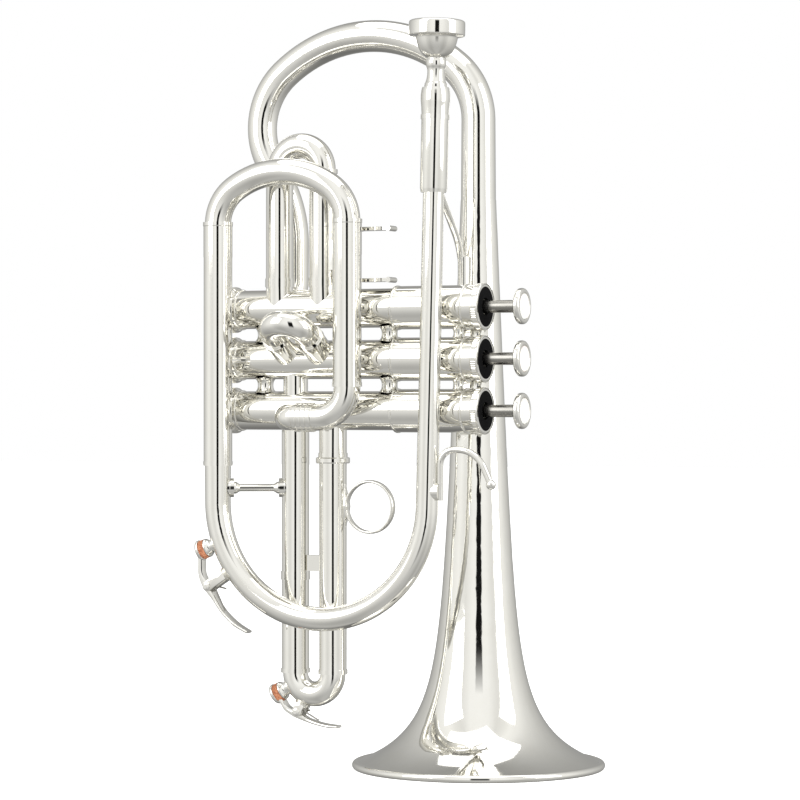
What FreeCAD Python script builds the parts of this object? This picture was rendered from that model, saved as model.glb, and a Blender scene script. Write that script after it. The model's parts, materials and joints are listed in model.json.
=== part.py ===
import FreeCAD, Part
import Sketcher
import math
import os
import re
from FreeCAD import Placement, Rotation, Vector

# B-flat cornet with a shepherd's crook, standing on its bell.  Z is the bell axis, the valves
# lie along X with their finger buttons at +X, and the leadpipe side faces -Y.

SIZES = {
    # bell
    "rim_radius": 59.5, "rim_wire": 1.9, "bell_wall": 0.7, "bell_top": 267, "stem_low": 18.4,
    "stem_high": 8.2, "flare_reach": 46, "flare_power": 3, "rim_level": 2, "sheet_start": 2.6,
    "rim_drop": 0.2, "tube_wall": 0.6,
    # shepherd's crook and the branch into the first valve
    "crook_rise": 304.6, "crook_top_radius": 70, "crook_side_radius": 34, "crook_half": 57,
    "crook_back_angle": 29, "crook_slant": 12, "crook_end": 6.6, "branch_x": -96.3,
    "branch_bend": 15,
    # valves
    "valve_y": -26, "valve_top": 216, "bore": 16.8, "casing_wall": 0.75, "cap_space": 2.4,
    "ledge": -28, "ledge_wall": 2, "ledge_step": 0.9, "baluster_wall": 0.8, "casing_mouth": 5,
    "fit": 0.07, "stroke": 16, "piston_length": 68, "piston_drop": 8, "piston_gap": 1.5,
    "casing_short": 2, "barrel_step": 0.5, "barrel_wall": 0.6, "barrel_plate": 1.2,
    "barrel_gap": 0.5, "passage": 10.2, "passage_margin": 7, "passage_step": 14,
    "slot_width": 4.6, "guide_thick": 3, "guide_gap": 0.3, "guide_play": 0.2,
    "cap_height": 9.7, "cap_grip": 4, "cap_lip": 0.6, "cap_edge": 0.5, "cap_spigot": 6,
    "cap_spigot_wall": 0.7, "cap_plate": 1.5, "felt_hole": 8.2, "felt_depth": 1.2,
    "foot_cap_wall": 1.65, "foot_cap_grip": 5, "foot_cap_edge": 1, "foot_cap_dome": 2,
    "foot_cap_plate": 1.5, "foot_cap_nub": 6, "foot_cap_clear": 0.2,
    "stem_outer": 5.8, "button_outer": 16.7, "button_gap": 0.3, "button_thick": 3.3,
    "button_edge": 0.8, "pearl_outer": 12, "pearl_depth": 1.4, "pearl_edge": 0.2,
    "pearl_dish": 0.3, "spring_outer": 13.4, "spring_wire": 1.2,
    "knuckle_outer": 11.6, "knuckle_low_x": -83, "knuckle_high_x": -55,
    "post_outer": 7.2, "post_near": -34, "post_far": -99, "post_small": 4, "post_small_x": 1,
    # leadpipe, receiver and main bow
    "lead_clear": 0.45, "lean": 1.34, "bow_radius": 54.05, "bow_x": -61.05, "bow_level": 125,
    "bow_top": 142, "bow_outer_lead": 10.2, "lead_end_outer": 9.6, "lead_length": 152,
    "solder_gap": 0.03, "receiver_grip": 7.7, "receiver_reach": 40.3, "receiver_wall": 1.4,
    "receiver_step": 0.05, "receiver_lip": 0.4, "receiver_taper": 2, "ring_stand": 0.35,
    "ring_drop": 14.5, "ring_length": 2, "bulge": 0.5, "bulge_low": 9, "bulge_mid": 6,
    "bulge_high": 3.5, "bulge_round": 1, "bulge_edge": 0.3, "socket_lead": 0.3,
    # mouthpiece: depths are measured down from the top of its rim
    "mouth_stand": 30.8, "mouth_cup": 16.6, "mouth_bore": 4, "rim_width": 4.65,
    "rim_depth": 7.3, "rim_round": 0.6, "rim_edge": 0.5, "rim_flat": 1, "rim_bite": 2,
    "bite_low": 0.8, "bite_depth": 0.5, "cup_high": 2, "cup_mid": 8, "cup_mid_step": 1,
    "cup_low": 13, "cup_low_step": 4, "cup_foot": 16.5,
    "bowl_wall": 1.3, "bowl_top": 9, "bowl_top_wall": 1.1, "bowl_mid": 11.8, "bowl_mid_wall": 0.4,
    "bowl_low": 14.5, "bowl_low_step": 0.9, "bowl_foot": 16.8, "bowl_foot_step": 2.6,
    "neck": 17.3, "neck_wall": 2.3, "bead_top": 18, "bead_foot": 21, "bead_wall": 2.8,
    "waist_top": 22, "waist_top_wall": 2.1, "waist": 24.8, "waist_wall": 1.95, "shank_swell": 27.5,
    "shank_top": 29.5, "shank_lip": 0.65, "shank_rest": 0.3, "shank_step": 0.2,
    "shank_gap": 16, "shank_fit": 0.09, "shank_wall": 0.61,
    # main tuning slide
    "leg_bore": 11.2, "leg_wall": 0.5, "sleeve_wall": 0.65, "sleeve_lip": 0.2, "ferrule_wall": 0.75,
    "run": 0.05, "tuning_x": -47.5, "tuning_seat": 242.5,
    "ferrule_height": 14.5, "ring_slope": 0.3, "tuning_reach": 45, "tuning_top": 280,
    "arch_radius": 45, "arch_corner": 20,
    # elbow into the third valve
    "elbow_radius": 14.3, "elbow_drop": 3.1, "elbow_end": -74, "elbow_ring": 10, "elbow_ring_wall": 0.6,
    "elbow_ridges": 4, "ridge_depth": 0.35, "ridge_slope": 0.4, "ridge_gap": 0.1,
    "knuckle_radius": 7,
    # valve slides
    "slide_bore": 10.6, "end_ring": 0.4, "end_ring_length": 2, "crook_plug": 6,
    "first_y": -28.5, "first_left": -90.2, "first_right": -67.4, "first_seat": 228.5,
    "first_reach": 45.5, "first_bend": 281.6,
    "saddle_radius": 12, "saddle_thick": 1.6, "saddle_width": 8, "saddle_tip": -32,
    "saddle_x": -47, "saddle_level": 241, "saddle_foot": 14, "saddle_lip": 2.56,
    "second_x": -76, "second_pitch": 17, "second_seat": 20, "second_gap": 1.05,
    "second_bend": 24.5, "second_lift": 30,
    "third_left": -83.1, "third_right": -63.4, "third_seat": 90, "third_band": 146,
    "third_inner_low": 96, "third_overlap": 58, "third_bend": 44, "band_stand": 1.5,
    "band_length": 2.8, "band_slope": 0.3, "band_edge": 0.5, "shoulder": 4,
    "finger_ring_outer": 25.4, "finger_ring_wall": 1.5, "finger_ring_width": 4,
    "finger_ring_level": 122.9, "finger_ring_foot": 22, "finger_ring_pad": 3.3,
    "lug_level": 96, "lug_height": 7.5, "lug_gap": 0.4,
    # braces, stay and little-finger hook
    "rod_outer": 3.5, "foot_outer": 9, "foot_small": 5, "foot_depth": 1.3,
    "bow_brace_level": 131.5, "case_brace_x": -101, "bell_brace_x": -12,
    "stay_outer": 3.3, "stay_above": 0.7, "stay_start": 2, "stay_bend": 8, "stay_turn": 45,
    "stay_run": 23.4, "stay_sweep": 30, "stay_end": 5, "stay_pad": 5.6, "stay_pad_length": 15,
    "stay_pad_x": 0.6, "stay_pad_y": 0.5,
    "hook_outer": 3, "hook_low": 127, "hook_stand": 6.6, "hook_rise": 16.3, "hook_corner": 7,
    "hook_flat": 2, "hook_sweep": 14, "hook_turn": 65, "hook_drop": 8.5, "hook_ball": 4.6,
    "hook_foot": 8,
    # water keys: angles are measured round the bend, stands out from the tube's surface
    "bow_cork_angle": 200.3, "bow_pivot_angle": 214.615, "bow_pivot_stand": 10.165,
    "bow_tip_angle": 238.427, "bow_tip_stand": 11.466,
    "third_cork_angle": 208, "third_pivot_angle": 247.739, "third_pivot_stand": 3.866,
    "third_tip_angle": 297.471, "third_tip_stand": 12.49,
    "nipple_outer": 8, "nipple_bore": 3, "nipple_height": 3.3, "nipple_root": 1.65,
    "cork_outer": 9, "cork_depth": 3.4, "cork_gap": 0.1, "holder_depth": 1, "holder_lip": 0.5,
    "arm_sink": 0.2, "arm_room": 1, "lever_width": 5, "lever_thick": 1.6, "barrel_key": 4.4,
    "pin_outer": 2, "pin_length": 11, "plate_gap": 0.3, "plate_thick": 1.4, "plate_width": 4.84,
    "pad_outer": 8, "pad_depth": 1.2,
}

# sizes and places that follow from the ones above
FOLLOWING = {
    "flare": "rim_radius - stem_low",
    "casing_outer": "bore + 2 * casing_wall",
    "baluster_bore": "bore + 2 * ledge_step",
    "baluster_outer": "baluster_bore + 2 * baluster_wall",
    "cap_flange": "baluster_outer + 2 * cap_lip",
    "foot_cap_outer": "casing_outer + 2 * foot_cap_wall",
    "valve_pitch": "foot_cap_outer + cap_space",
    "cap_face": "casing_mouth + cap_height",
    "cap_shoulder": "cap_face - cap_grip",
    "cap_underside": "cap_face - felt_depth - cap_plate",
    "piston_high": "ledge - piston_drop",
    "piston_low": "piston_high - piston_length",
    "passage_first": "piston_low + passage_margin",
    "barrel_outer": "bore - 2 * barrel_step",
    "barrel_top": "cap_underside - barrel_gap",
    "button_seat": "cap_face + stroke + button_gap",
    "button_face": "button_seat + button_thick",
    "casing_end": "piston_low - stroke + casing_short",
    "foot_cap_seat": "casing_end + foot_cap_grip",
    "foot_cap_floor": "piston_low - stroke - piston_gap",
    "foot_cap_end": "foot_cap_floor - foot_cap_plate",
    "lead_y": "valve_y - foot_cap_outer / 2 - sleeve_outer / 2 - lead_clear",
    "receiver_low": "lead_length - receiver_grip",
    "receiver_top": "lead_length + receiver_reach",
    "receiver_bore": "lead_end_outer + 2 * receiver_step",
    "receiver_outer": "receiver_bore + 2 * receiver_wall",
    "mouth_top": "receiver_top + mouth_stand",
    "mouth_rim": "mouth_cup + 2 * rim_width",
    "shank_low": "lead_length + shank_gap",
    "leg_outer": "leg_bore + 2 * leg_wall",
    "sleeve_outer": "leg_outer + 2 * sleeve_wall",
    "ferrule_outer": "leg_outer + 2 * ferrule_wall",
    "ferrule_top": "tuning_seat + ferrule_height",
    "arch_outer": "leg_bore + 2 * tube_wall",
    "elbow_ring_outer": "arch_outer + 2 * elbow_ring_wall",
    "slide_inner": "slide_bore + 2 * tube_wall",
    "slide_outer": "slide_inner + 2 * tube_wall",
    "plug_outer": "slide_inner + 2 * run",
    "tuning_sleeve_low": "valve_top - 2 * valve_pitch + elbow_radius - elbow_drop",
    "second_low": "casing_outer / 2 + second_gap",
    "first_inner_top": "first_seat + first_reach",
    "third_inner_top": "third_seat + third_overlap",
    "band_outer": "slide_outer + 2 * band_stand",
    "brace_level": "valve_top - valve_pitch",
    "stay_level": "bow_level + receiver_low + stay_above",
    "hook_x": "bow_x + bow_radius + hook_stand",
}

doc = FreeCAD.newDocument("Cornet")
sheet = doc.addObject("Spreadsheet::Sheet", "Sizes")
nodes = {}

# how many stations the bell's curve is drawn through
BELL_STATIONS = 26

# Rotations that lay a Z-directed primitive along another direction.
UP = Rotation()
ALONG_X = Rotation(Vector(0, 1, 0), 90)
ALONG_Y = Rotation(Vector(1, 0, 0), -90)


def fill_sheet():
    """one row for each driving dimension: its name, its number and the same name as alias"""
    for row, (name, size) in enumerate(SIZES.items(), start=1):
        sheet.set("A%d" % row, name)
        sheet.set("B%d" % row, str(size))
        sheet.setAlias("B%d" % row, name)
    doc.recompute()


def spelt(word):
    """one name as a cell of the sheet, or as the sizes that it follows from"""
    if word in FOLLOWING:
        return "(" + linked(FOLLOWING[word]) + ")"
    return "Sizes." + word if word in SIZES else word


def linked(text):
    """the same expression with every name spelt for the sheet"""
    return re.sub(r"[a-z_]+", lambda found: spelt(found[0]), text)


def size(text):
    """the value of a name or of an expression of the sheet's sizes"""
    return float(sheet.evalExpression(linked(text)))


def bind(thing, **texts):
    """tie properties of an object to expressions of the sheet's sizes"""
    for prop, text in texts.items():
        thing.setExpression(prop, linked(text))


def move(thing, at, turn=UP):
    """turn an object and tie its place to three expressions"""
    thing.Placement = Placement(Vector(), turn)
    for axis, text in zip("xyz", at):
        thing.setExpression("Placement.Base." + axis, linked(text))


def cylinder(name, across, length, at, turn=UP):
    """a cylinder of the diameter `across`, starting at `at`"""
    thing = doc.addObject("Part::Cylinder", name)
    bind(thing, Radius="(%s) / 2" % across, Height=length)
    move(thing, at, turn)
    return thing


def box(name, long, wide, high, at):
    """a box with its lowest corner at `at`"""
    thing = doc.addObject("Part::Box", name)
    bind(thing, Length=long, Width=wide, Height=high)
    move(thing, at)
    return thing


def cut(name, base, *tools):
    """the base less each tool in turn"""
    for step, tool in enumerate(tools):
        thing = doc.addObject("Part::Cut", name if step == len(tools) - 1 else name + "_trim")
        thing.Base = base
        thing.Tool = tool
        base = thing
    return base


def fuse(name, *things):
    """several solids joined into one"""
    thing = doc.addObject("Part::MultiFuse", name)
    thing.Shapes = list(things)
    return thing


def tube(name, outer, inner, length, at, turn=UP):
    """a straight tube"""
    outside = cylinder(name + "_outside", outer, length, at, turn)
    inside = cylinder(name + "_inside", inner, length, at, turn)
    return cut(name, outside, inside)


def node(label, *things):
    """name a finished sub-part; more than one solid makes a group of separate pieces"""
    if len(things) == 1:
        thing = things[0]
    else:
        thing = doc.addObject("Part::Compound", label + "_group")
        thing.Links = list(things)
    thing.Label = label
    nodes[label] = thing
    return thing


def turned(name, outline, at, along="X", turn=UP):
    """a body turned on a lathe: its outline lists (along the axis, radius) as expressions"""
    body = doc.addObject("PartDesign::Body", name)
    sketch = body.newObject("Sketcher::SketchObject", name + "_outline")
    plane = [part for part in body.Origin.OriginFeatures if part.Role == "XZ_Plane"][0]
    sketch.AttachmentSupport = (plane, "")
    sketch.MapMode = "FlatFace"
    count = len(outline)
    spots = [Vector(math.cos(math.tau * i / count), math.sin(math.tau * i / count), 0)
             for i in range(count)]
    for i in range(count):
        sketch.addGeometry(Part.LineSegment(spots[i] * 10, spots[(i + 1) % count] * 10), False)
    for i, (distance, radius) in enumerate(outline):
        following = (i + 1) % count
        across, upward = (distance, radius) if along == "X" else (radius, distance)
        sketch.addConstraint(Sketcher.Constraint("Coincident", i, 2, following, 1))
        for kind, text in (("DistanceX", across), ("DistanceY", upward)):
            index = sketch.addConstraint(Sketcher.Constraint(kind, -1, 1, i, 1, 1.0))
            sketch.setExpression("Constraints[%d]" % index, linked(text))
    revolution = body.newObject("PartDesign::Revolution", name + "_turning")
    revolution.Profile = sketch
    revolution.ReferenceAxis = (sketch, ["H_Axis" if along == "X" else "V_Axis"])
    revolution.Angle = 360
    sketch.Visibility = False
    if at:
        move(body, at, turn)
    return body


def route(start, heading, moves):
    """a path of straight stretches (length,) and bends (radius, degrees, axis)"""
    place = Vector(*start)
    heading = Vector(*heading).normalize()
    edges = []
    for stretch in moves:
        if len(stretch) == 1:
            goal = place + heading * stretch[0]
            edges.append(Part.LineSegment(place, goal).toShape())
            place = goal
            continue
        radius, angle, axis = stretch
        axis = Vector(*axis)
        centre = place + axis.cross(heading) * radius
        half = Rotation(axis, angle / 2)
        whole = Rotation(axis, angle)
        middle = centre + half.multVec(place - centre)
        goal = centre + whole.multVec(place - centre)
        edges.append(Part.Arc(place, middle, goal).toShape())
        place = goal
        heading = whole.multVec(heading)
    return Part.Wire(edges), place, heading


def swept(name, path, start, first, last, heading, end):
    """a round section carried along a path, `first` across at its start and `last` at its end"""
    spine = doc.addObject("Part::Feature", name + "_path")
    spine.Shape = path
    sections = []
    for mark, across, spot, direction in (("a", first, start, heading), ("b", last, *end)):
        if mark == "b" and first == last:
            continue
        ring = doc.addObject("Part::Circle", name + "_section_" + mark)
        bind(ring, Radius="(%s) / 2" % across)
        ring.Placement = Placement(Vector(*spot), Rotation(Vector(0, 0, 1), Vector(*direction)))
        sections.append(ring)
    sweep = doc.addObject("Part::Sweep", name)
    sweep.Sections = sections
    sweep.Spine = (spine, ["Edge%d" % (i + 1) for i in range(len(path.Edges))])
    sweep.Solid = True
    sweep.Frenet = False
    return sweep


def bent(name, start, heading, moves, first, last=None, wall=None):
    """a bent rod, or a bent tube when it has a wall"""
    last = last or first
    path, *end = route(start, heading, moves)
    outside = swept(name + "_rod", path, start, first, last, heading, end)
    if wall is None:
        return outside
    inside = swept(name + "_hollow", path, start, "%s - 2 * %s" % (first, wall),
                   "%s - 2 * %s" % (last, wall), heading, end)
    return cut(name, outside, inside)


def casing_tool(name, number):
    """the outside of one valve casing, to shape what is soldered against it"""
    at = ("casing_end", "valve_y", valve_level(number))
    return cylinder(name, "casing_outer", "ledge - casing_end", at, ALONG_X)


def valve_level(number):
    """the height of one valve's axis, as an expression"""
    return "valve_top - %d * valve_pitch" % (number - 1)


def bell_radius(level):
    """the bell's outer radius: a straight stem and a flare that dies away up it"""
    share = (level - size("rim_level")) / (size("bell_top") - size("rim_level"))
    stem = size("stem_low") + (size("stem_high") - size("stem_low")) * share
    rise = (level - size("rim_level")) / size("flare_reach")
    return stem + size("flare") / (1 + rise) ** size("flare_power")


def bell_solid(name, inset, low, high):
    """the solid inside the bell's surface, `inset` within it"""
    count = BELL_STATIONS
    levels = [low + (high - low) * (i / count) ** 2 for i in range(count + 1)]
    curve = Part.BSplineCurve()
    curve.interpolate([Vector(bell_radius(level) - inset, 0, level) for level in levels])
    top = Vector(0, 0, high)
    bottom = Vector(0, 0, low)
    edges = [curve.toShape(), Part.LineSegment(curve.EndPoint, top).toShape(),
             Part.LineSegment(top, bottom).toShape(),
             Part.LineSegment(bottom, curve.StartPoint).toShape()]
    thing = doc.addObject("Part::Feature", name)
    thing.Shape = Part.Face(Part.Wire(edges)).revolve(Vector(), Vector(0, 0, 1), 360)
    return thing


def rim_ring(name):
    """the wire that the bell's edge is rolled over"""
    ring = doc.addObject("Part::Torus", name)
    bind(ring, Radius1="rim_radius - rim_wire", Radius2="rim_wire")
    move(ring, ("0", "0", "rim_wire - rim_drop"))
    return ring


def build_bell():
    sheet_low = size("sheet_start")
    outside = bell_solid("bell_outside", 0, sheet_low, size("bell_top"))
    inside = bell_solid("bell_inside", size("bell_wall"), sheet_low, size("bell_top"))
    node("bell", cut("bell_sheet", outside, inside, rim_ring("bell_edge")))
    under = cylinder("bell_floor", "3 * rim_radius", "rim_drop", ("0", "0", "-rim_drop"))
    node("bell_rim_wire", cut("rim_flat", rim_ring("rim_round"), under))


def build_crook():
    """the tube that turns back over the top from the bell's tail to the first valve"""
    top, side, half = (size(key) for key in ("crook_top_radius", "crook_side_radius", "crook_half"))
    spread = math.degrees(math.asin((half - side) / (top - side)))
    back = size("crook_back_angle")
    turn = (0, -1, 0)
    rise = size("crook_rise") - size("bell_top")
    moves = [(rise,), (side, 90 - spread, turn), (top, 2 * spread, turn),
             (side, 90 - spread + back, turn), (size("crook_slant"),)]
    _, place, _ = route((0, 0, size("bell_top")), (0, 0, 1), moves)
    reach = (place.x - size("branch_x")) / -(1 - math.cos(math.radians(back)))
    moves.append((reach, back, (0, 1, 0)))
    _, place, _ = route((0, 0, size("bell_top")), (0, 0, 1), moves)
    level = size("valve_top") + size("branch_bend")
    moves.append((place.z - level,))
    node("shepherds_crook", bent("crook_tube", (0, 0, size("bell_top")), (0, 0, 1), moves,
                                 "2 * stem_high", "2 * crook_end", "tube_wall"))
    inward = [(size("branch_bend"), 90, (-1, 0, 0)), (-size("valve_y") - size("branch_bend"),)]
    branch = bent("branch_tube", (size("branch_x"), 0, level), (0, 0, -1), inward,
                  "2 * crook_end", None, "tube_wall")
    node("first_valve_branch", cut("branch_end", branch, casing_tool("branch_casing", 1)))


def ports(number):
    """the tube ends that open into one valve casing, as cutting cylinders"""
    level = valve_level(number)
    here = "port_%d_" % number
    tools = []
    if number == 1:
        at = ("branch_x", "valve_y", level)
        tools.append(cylinder(here + "back", "2 * (crook_end - tube_wall)", "casing_outer", at, ALONG_Y))
        for key in ("first_left", "first_right"):
            tools.append(cylinder(here + key, "slide_bore", "casing_outer", (key, "first_y", level)))
    if number == 2:
        for side in (-1, 1):
            at = ("second_x + %d * second_pitch / 2" % side, "valve_y", level)
            tools.append(cylinder(here + "side", "slide_bore", "casing_outer", at, second_turn()))
    if number == 3:
        for key in ("third_left", "third_right"):
            at = (key, "valve_y", level + " - casing_outer")
            tools.append(cylinder(here + key, "slide_bore", "casing_outer", at))
        at = ("elbow_end - knuckle_radius", "valve_y - casing_outer", "tuning_sleeve_low - elbow_radius")
        tools.append(cylinder(here + "front", "knuckle_outer - 2 * tube_wall", "casing_outer", at, ALONG_Y))
    for upper, key in ((1, "knuckle_high_x"), (2, "knuckle_low_x")):
        if number == upper:
            at = (key, "valve_y", level + " - casing_outer")
        elif number == upper + 1:
            at = (key, "valve_y", level)
        else:
            continue
        tools.append(cylinder(here + key, "knuckle_outer - 2 * tube_wall", "casing_outer", at))
    return tools


def build_casing(number):
    """a casing with a wider upper part, whose bore steps out to a ledge for the guide"""
    outline = [("casing_end", "bore / 2"), ("casing_end", "casing_outer / 2"),
               ("ledge - ledge_wall", "casing_outer / 2"), ("ledge - ledge_wall", "baluster_outer / 2"),
               ("casing_mouth", "baluster_outer / 2"), ("casing_mouth", "baluster_bore / 2"),
               ("ledge", "baluster_bore / 2"), ("ledge", "bore / 2")]
    shell = turned("casing_shell_%d" % number, outline, ("0", "valve_y", valve_level(number)))
    node("valve_casing_%d" % number, cut("casing_%d" % number, shell, *ports(number)))


def build_caps():
    tops, felts, feet = [], [], []
    for number in (1, 2, 3):
        at = ("0", "valve_y", valve_level(number))
        outline = [("casing_mouth - cap_spigot", "baluster_bore / 2 - cap_spigot_wall"),
                   ("casing_mouth - cap_spigot", "baluster_bore / 2"),
                   ("casing_mouth", "baluster_bore / 2"), ("casing_mouth", "baluster_outer / 2"),
                   ("cap_shoulder", "baluster_outer / 2"), ("cap_shoulder + cap_edge", "cap_flange / 2"),
                   ("cap_face - cap_edge", "cap_flange / 2"), ("cap_face", "cap_flange / 2 - cap_edge"),
                   ("cap_face", "baluster_bore / 2"), ("cap_face - felt_depth", "baluster_bore / 2"),
                   ("cap_face - felt_depth", "felt_hole / 2"),
                   ("cap_underside", "felt_hole / 2"),
                   ("cap_underside", "baluster_bore / 2 - cap_spigot_wall")]
        tops.append(turned("top_cap_%d" % number, outline, at))
        felts.append(tube("felt_%d" % number, "baluster_bore", "felt_hole", "felt_depth",
                          ("cap_face - felt_depth", at[1], at[2]), ALONG_X))
        outline = [("foot_cap_seat", "casing_outer / 2"),
                   ("foot_cap_seat", "foot_cap_outer / 2 - foot_cap_edge"),
                   ("foot_cap_seat - foot_cap_edge", "foot_cap_outer / 2"),
                   ("foot_cap_end + foot_cap_dome", "foot_cap_outer / 2"),
                   ("foot_cap_end", "foot_cap_outer / 2 - foot_cap_dome"),
                   ("foot_cap_end", "foot_cap_nub / 2"),
                   ("foot_cap_end - foot_cap_edge", "foot_cap_nub / 2 - foot_cap_edge"),
                   ("foot_cap_end - foot_cap_edge", "0"), ("foot_cap_floor", "0"),
                   ("foot_cap_floor", "bore / 2 + foot_cap_clear"),
                   ("casing_end", "bore / 2 + foot_cap_clear"), ("casing_end", "casing_outer / 2")]
        feet.append(turned("bottom_cap_%d" % number, outline, at))
    node("top_caps", *tops)
    node("cap_felts", *felts)
    node("bottom_caps", *feet)


def build_piston(number):
    """one piston with its passages and slotted spring barrel, stem, button and pearl"""
    level = valve_level(number)
    at = ("0", "valve_y", level)
    outline = [("piston_low", "0"), ("piston_low", "bore / 2 - fit"),
               ("piston_high", "bore / 2 - fit"), ("piston_high", "barrel_outer / 2"),
               ("barrel_top", "barrel_outer / 2"), ("barrel_top", "0"),
               ("barrel_top - barrel_plate", "0"),
               ("barrel_top - barrel_plate", "barrel_outer / 2 - barrel_wall"),
               ("piston_high", "barrel_outer / 2 - barrel_wall"), ("piston_high", "0")]
    blank = turned("piston_blank_%d" % number, outline, at)
    tools = []
    for step in range(3):
        turn = Rotation(Vector(1, 0, 0), 60 * step)
        hole = cylinder("passage_%d_%d" % (number, step), "passage", "2 * bore",
                        ("passage_first + %d * passage_step" % step, "valve_y", level))
        offset = turn.multVec(Vector(0, 0, -1))
        hole.Placement = Placement(Vector(), turn)
        hole.setExpression("Placement.Base.x", linked("passage_first + %d * passage_step" % step))
        hole.setExpression("Placement.Base.y", linked("valve_y + %.6f * bore" % offset.y))
        hole.setExpression("Placement.Base.z", linked(level + " + %.6f * bore" % offset.z))
        tools.append(hole)
    slot = box("slot_%d" % number, "stroke + guide_thick + 2 * guide_gap", "2 * bore", "slot_width",
               ("ledge - guide_gap", "valve_y - bore", level + " - slot_width / 2"))
    node("piston_%d" % number, cut("piston_cut_%d" % number, blank, *tools, slot))
    stem = cylinder("stem_%d" % number, "stem_outer", "button_seat - barrel_top",
                    ("barrel_top", "valve_y", level), ALONG_X)
    node("valve_stem_%d" % number, stem)
    outline = [("button_seat", "0"), ("button_seat", "button_outer / 2 - button_edge"),
               ("button_seat + button_edge", "button_outer / 2"),
               ("button_face - button_edge", "button_outer / 2"),
               ("button_face", "button_outer / 2 - button_edge"), ("button_face", "pearl_outer / 2"),
               ("button_face - pearl_depth", "pearl_outer / 2"), ("button_face - pearl_depth", "0")]
    node("finger_button_%d" % number, turned("button_%d" % number, outline, at))
    outline = [("button_face - pearl_depth", "0"), ("button_face - pearl_depth", "pearl_outer / 2"),
               ("button_face - pearl_edge", "pearl_outer / 2"),
               ("button_face", "pearl_outer / 2 - button_edge"), ("button_face - pearl_dish", "0")]
    node("button_pearl_%d" % number, turned("pearl_%d" % number, outline, at))
    spring = tube("spring_%d" % number, "spring_outer", "spring_outer - 2 * spring_wire",
                  "barrel_top - barrel_plate - ledge - guide_thick",
                  ("ledge + guide_thick", "valve_y", level), ALONG_X)
    node("valve_spring_%d" % number, spring)


def build_guides():
    """the cross bars that stay on each ledge while the slotted barrel slides past them"""
    guides = []
    for number in (1, 2, 3):
        level = valve_level(number)
        disc = cylinder("guide_disc_%d" % number, "spring_outer", "guide_thick",
                        ("ledge", "valve_y", level), ALONG_X)
        bar = box("guide_bar_%d" % number, "guide_thick", "baluster_bore - 2 * guide_play",
                  "slot_width - 2 * guide_gap",
                  ("ledge", "valve_y - baluster_bore / 2 + guide_play",
                   level + " - slot_width / 2 + guide_gap"))
        guides.append(fuse("guide_%d" % number, disc, bar))
    node("valve_guides", *guides)


def build_links():
    """the tubes and posts that join the three casings side by side"""
    knuckles, posts = [], []
    for upper, key in ((1, "knuckle_high_x"), (2, "knuckle_low_x")):
        at = (key, "valve_y", valve_level(upper + 1))
        pipe = tube("link_%d" % upper, "knuckle_outer", "knuckle_outer - 2 * tube_wall",
                    "valve_pitch", at)
        tools = [casing_tool("link_tool_%d_%d" % (upper, number), number) for number in (upper, upper + 1)]
        knuckles.append(cut("knuckle_%d" % upper, pipe, *tools))
        for mark, across, x in (("a", "post_outer", "post_near"), ("b", "post_outer", "post_far"),
                                ("c", "post_small", "post_small_x")):
            name = "post_%s_%d" % (mark, upper)
            post = cylinder(name + "_rod", across, "valve_pitch", (x, "valve_y", valve_level(upper + 1)))
            wide = "baluster_outer" if mark == "c" else "casing_outer"
            tools = [cylinder(name + "_tool_%d" % number, wide, "baluster_outer",
                              (x + " - baluster_outer / 2", "valve_y", valve_level(number)), ALONG_X)
                     for number in (upper, upper + 1)]
            posts.append(cut(name, post, *tools))
    node("valve_knuckles", *knuckles)
    node("casing_posts", *posts)


def lean_turn():
    """the leadpipe leans a little toward the finger buttons"""
    return Rotation(Vector(0, 1, 0), size("lean"))


def lead_foot():
    """where the bow's smaller end meets the leadpipe"""
    lean = math.radians(size("lean"))
    return Vector(size("bow_x") + size("bow_radius") * math.cos(lean), size("lead_y"),
                  size("bow_level") - size("bow_radius") * math.sin(lean))


def on_lead(thing):
    """stand a piece on the leadpipe's leaning axis"""
    thing.Placement = Placement(lead_foot(), lean_turn())
    return thing


def lead_cone(name, inset):
    """the leadpipe's tapering outside, or its inside when inset by the wall"""
    cone = doc.addObject("Part::Cone", name)
    bind(cone, Radius1="bow_outer_lead / 2 - %s" % inset, Radius2="lead_end_outer / 2 - %s" % inset,
         Height="lead_length")
    return on_lead(cone)


def build_lead():
    start = lead_foot()
    lean = math.radians(size("lean"))
    moves = [(size("bow_radius"), 180 - size("lean"), (0, 1, 0)),
             (size("bow_top") - size("bow_level"),)]
    bow = bent("bow_tube", tuple(start), (-math.sin(lean), 0, -math.cos(lean)), moves,
               "bow_outer_lead", "arch_outer", "tube_wall")
    node("main_bow", bow)
    node("leadpipe", cut("lead_tube", lead_cone("lead_outside", "0"), lead_cone("lead_inside", "tube_wall")))
    low = "receiver_low"
    top = "receiver_top"
    wide = "receiver_outer / 2"
    outline = [(low, "lead_end_outer / 2 + solder_gap"), (low, wide + " - receiver_lip"),
               (low + " + receiver_taper", wide), (top + " - ring_drop", wide),
               (top + " - ring_drop", wide + " + ring_stand"),
               (top + " - ring_drop + ring_length", wide + " + ring_stand"),
               (top + " - ring_drop + ring_length", wide),
               (top + " - bulge_low", wide + " + bulge - bulge_edge"),
               (top + " - bulge_mid", wide + " + bulge"), (top + " - bulge_high", wide + " + bulge"),
               (top + " - bulge_round", wide + " + bulge - bulge_edge"),
               (top, wide + " + bulge - 2 * bulge_edge"), (top, "receiver_bore / 2 + socket_lead"),
               ("lead_length", "receiver_bore / 2"), ("lead_length", "lead_end_outer / 2 + solder_gap")]
    node("mouthpiece_receiver", on_lead(turned("receiver", outline, None, "Z")))
    build_mouthpiece()


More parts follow.
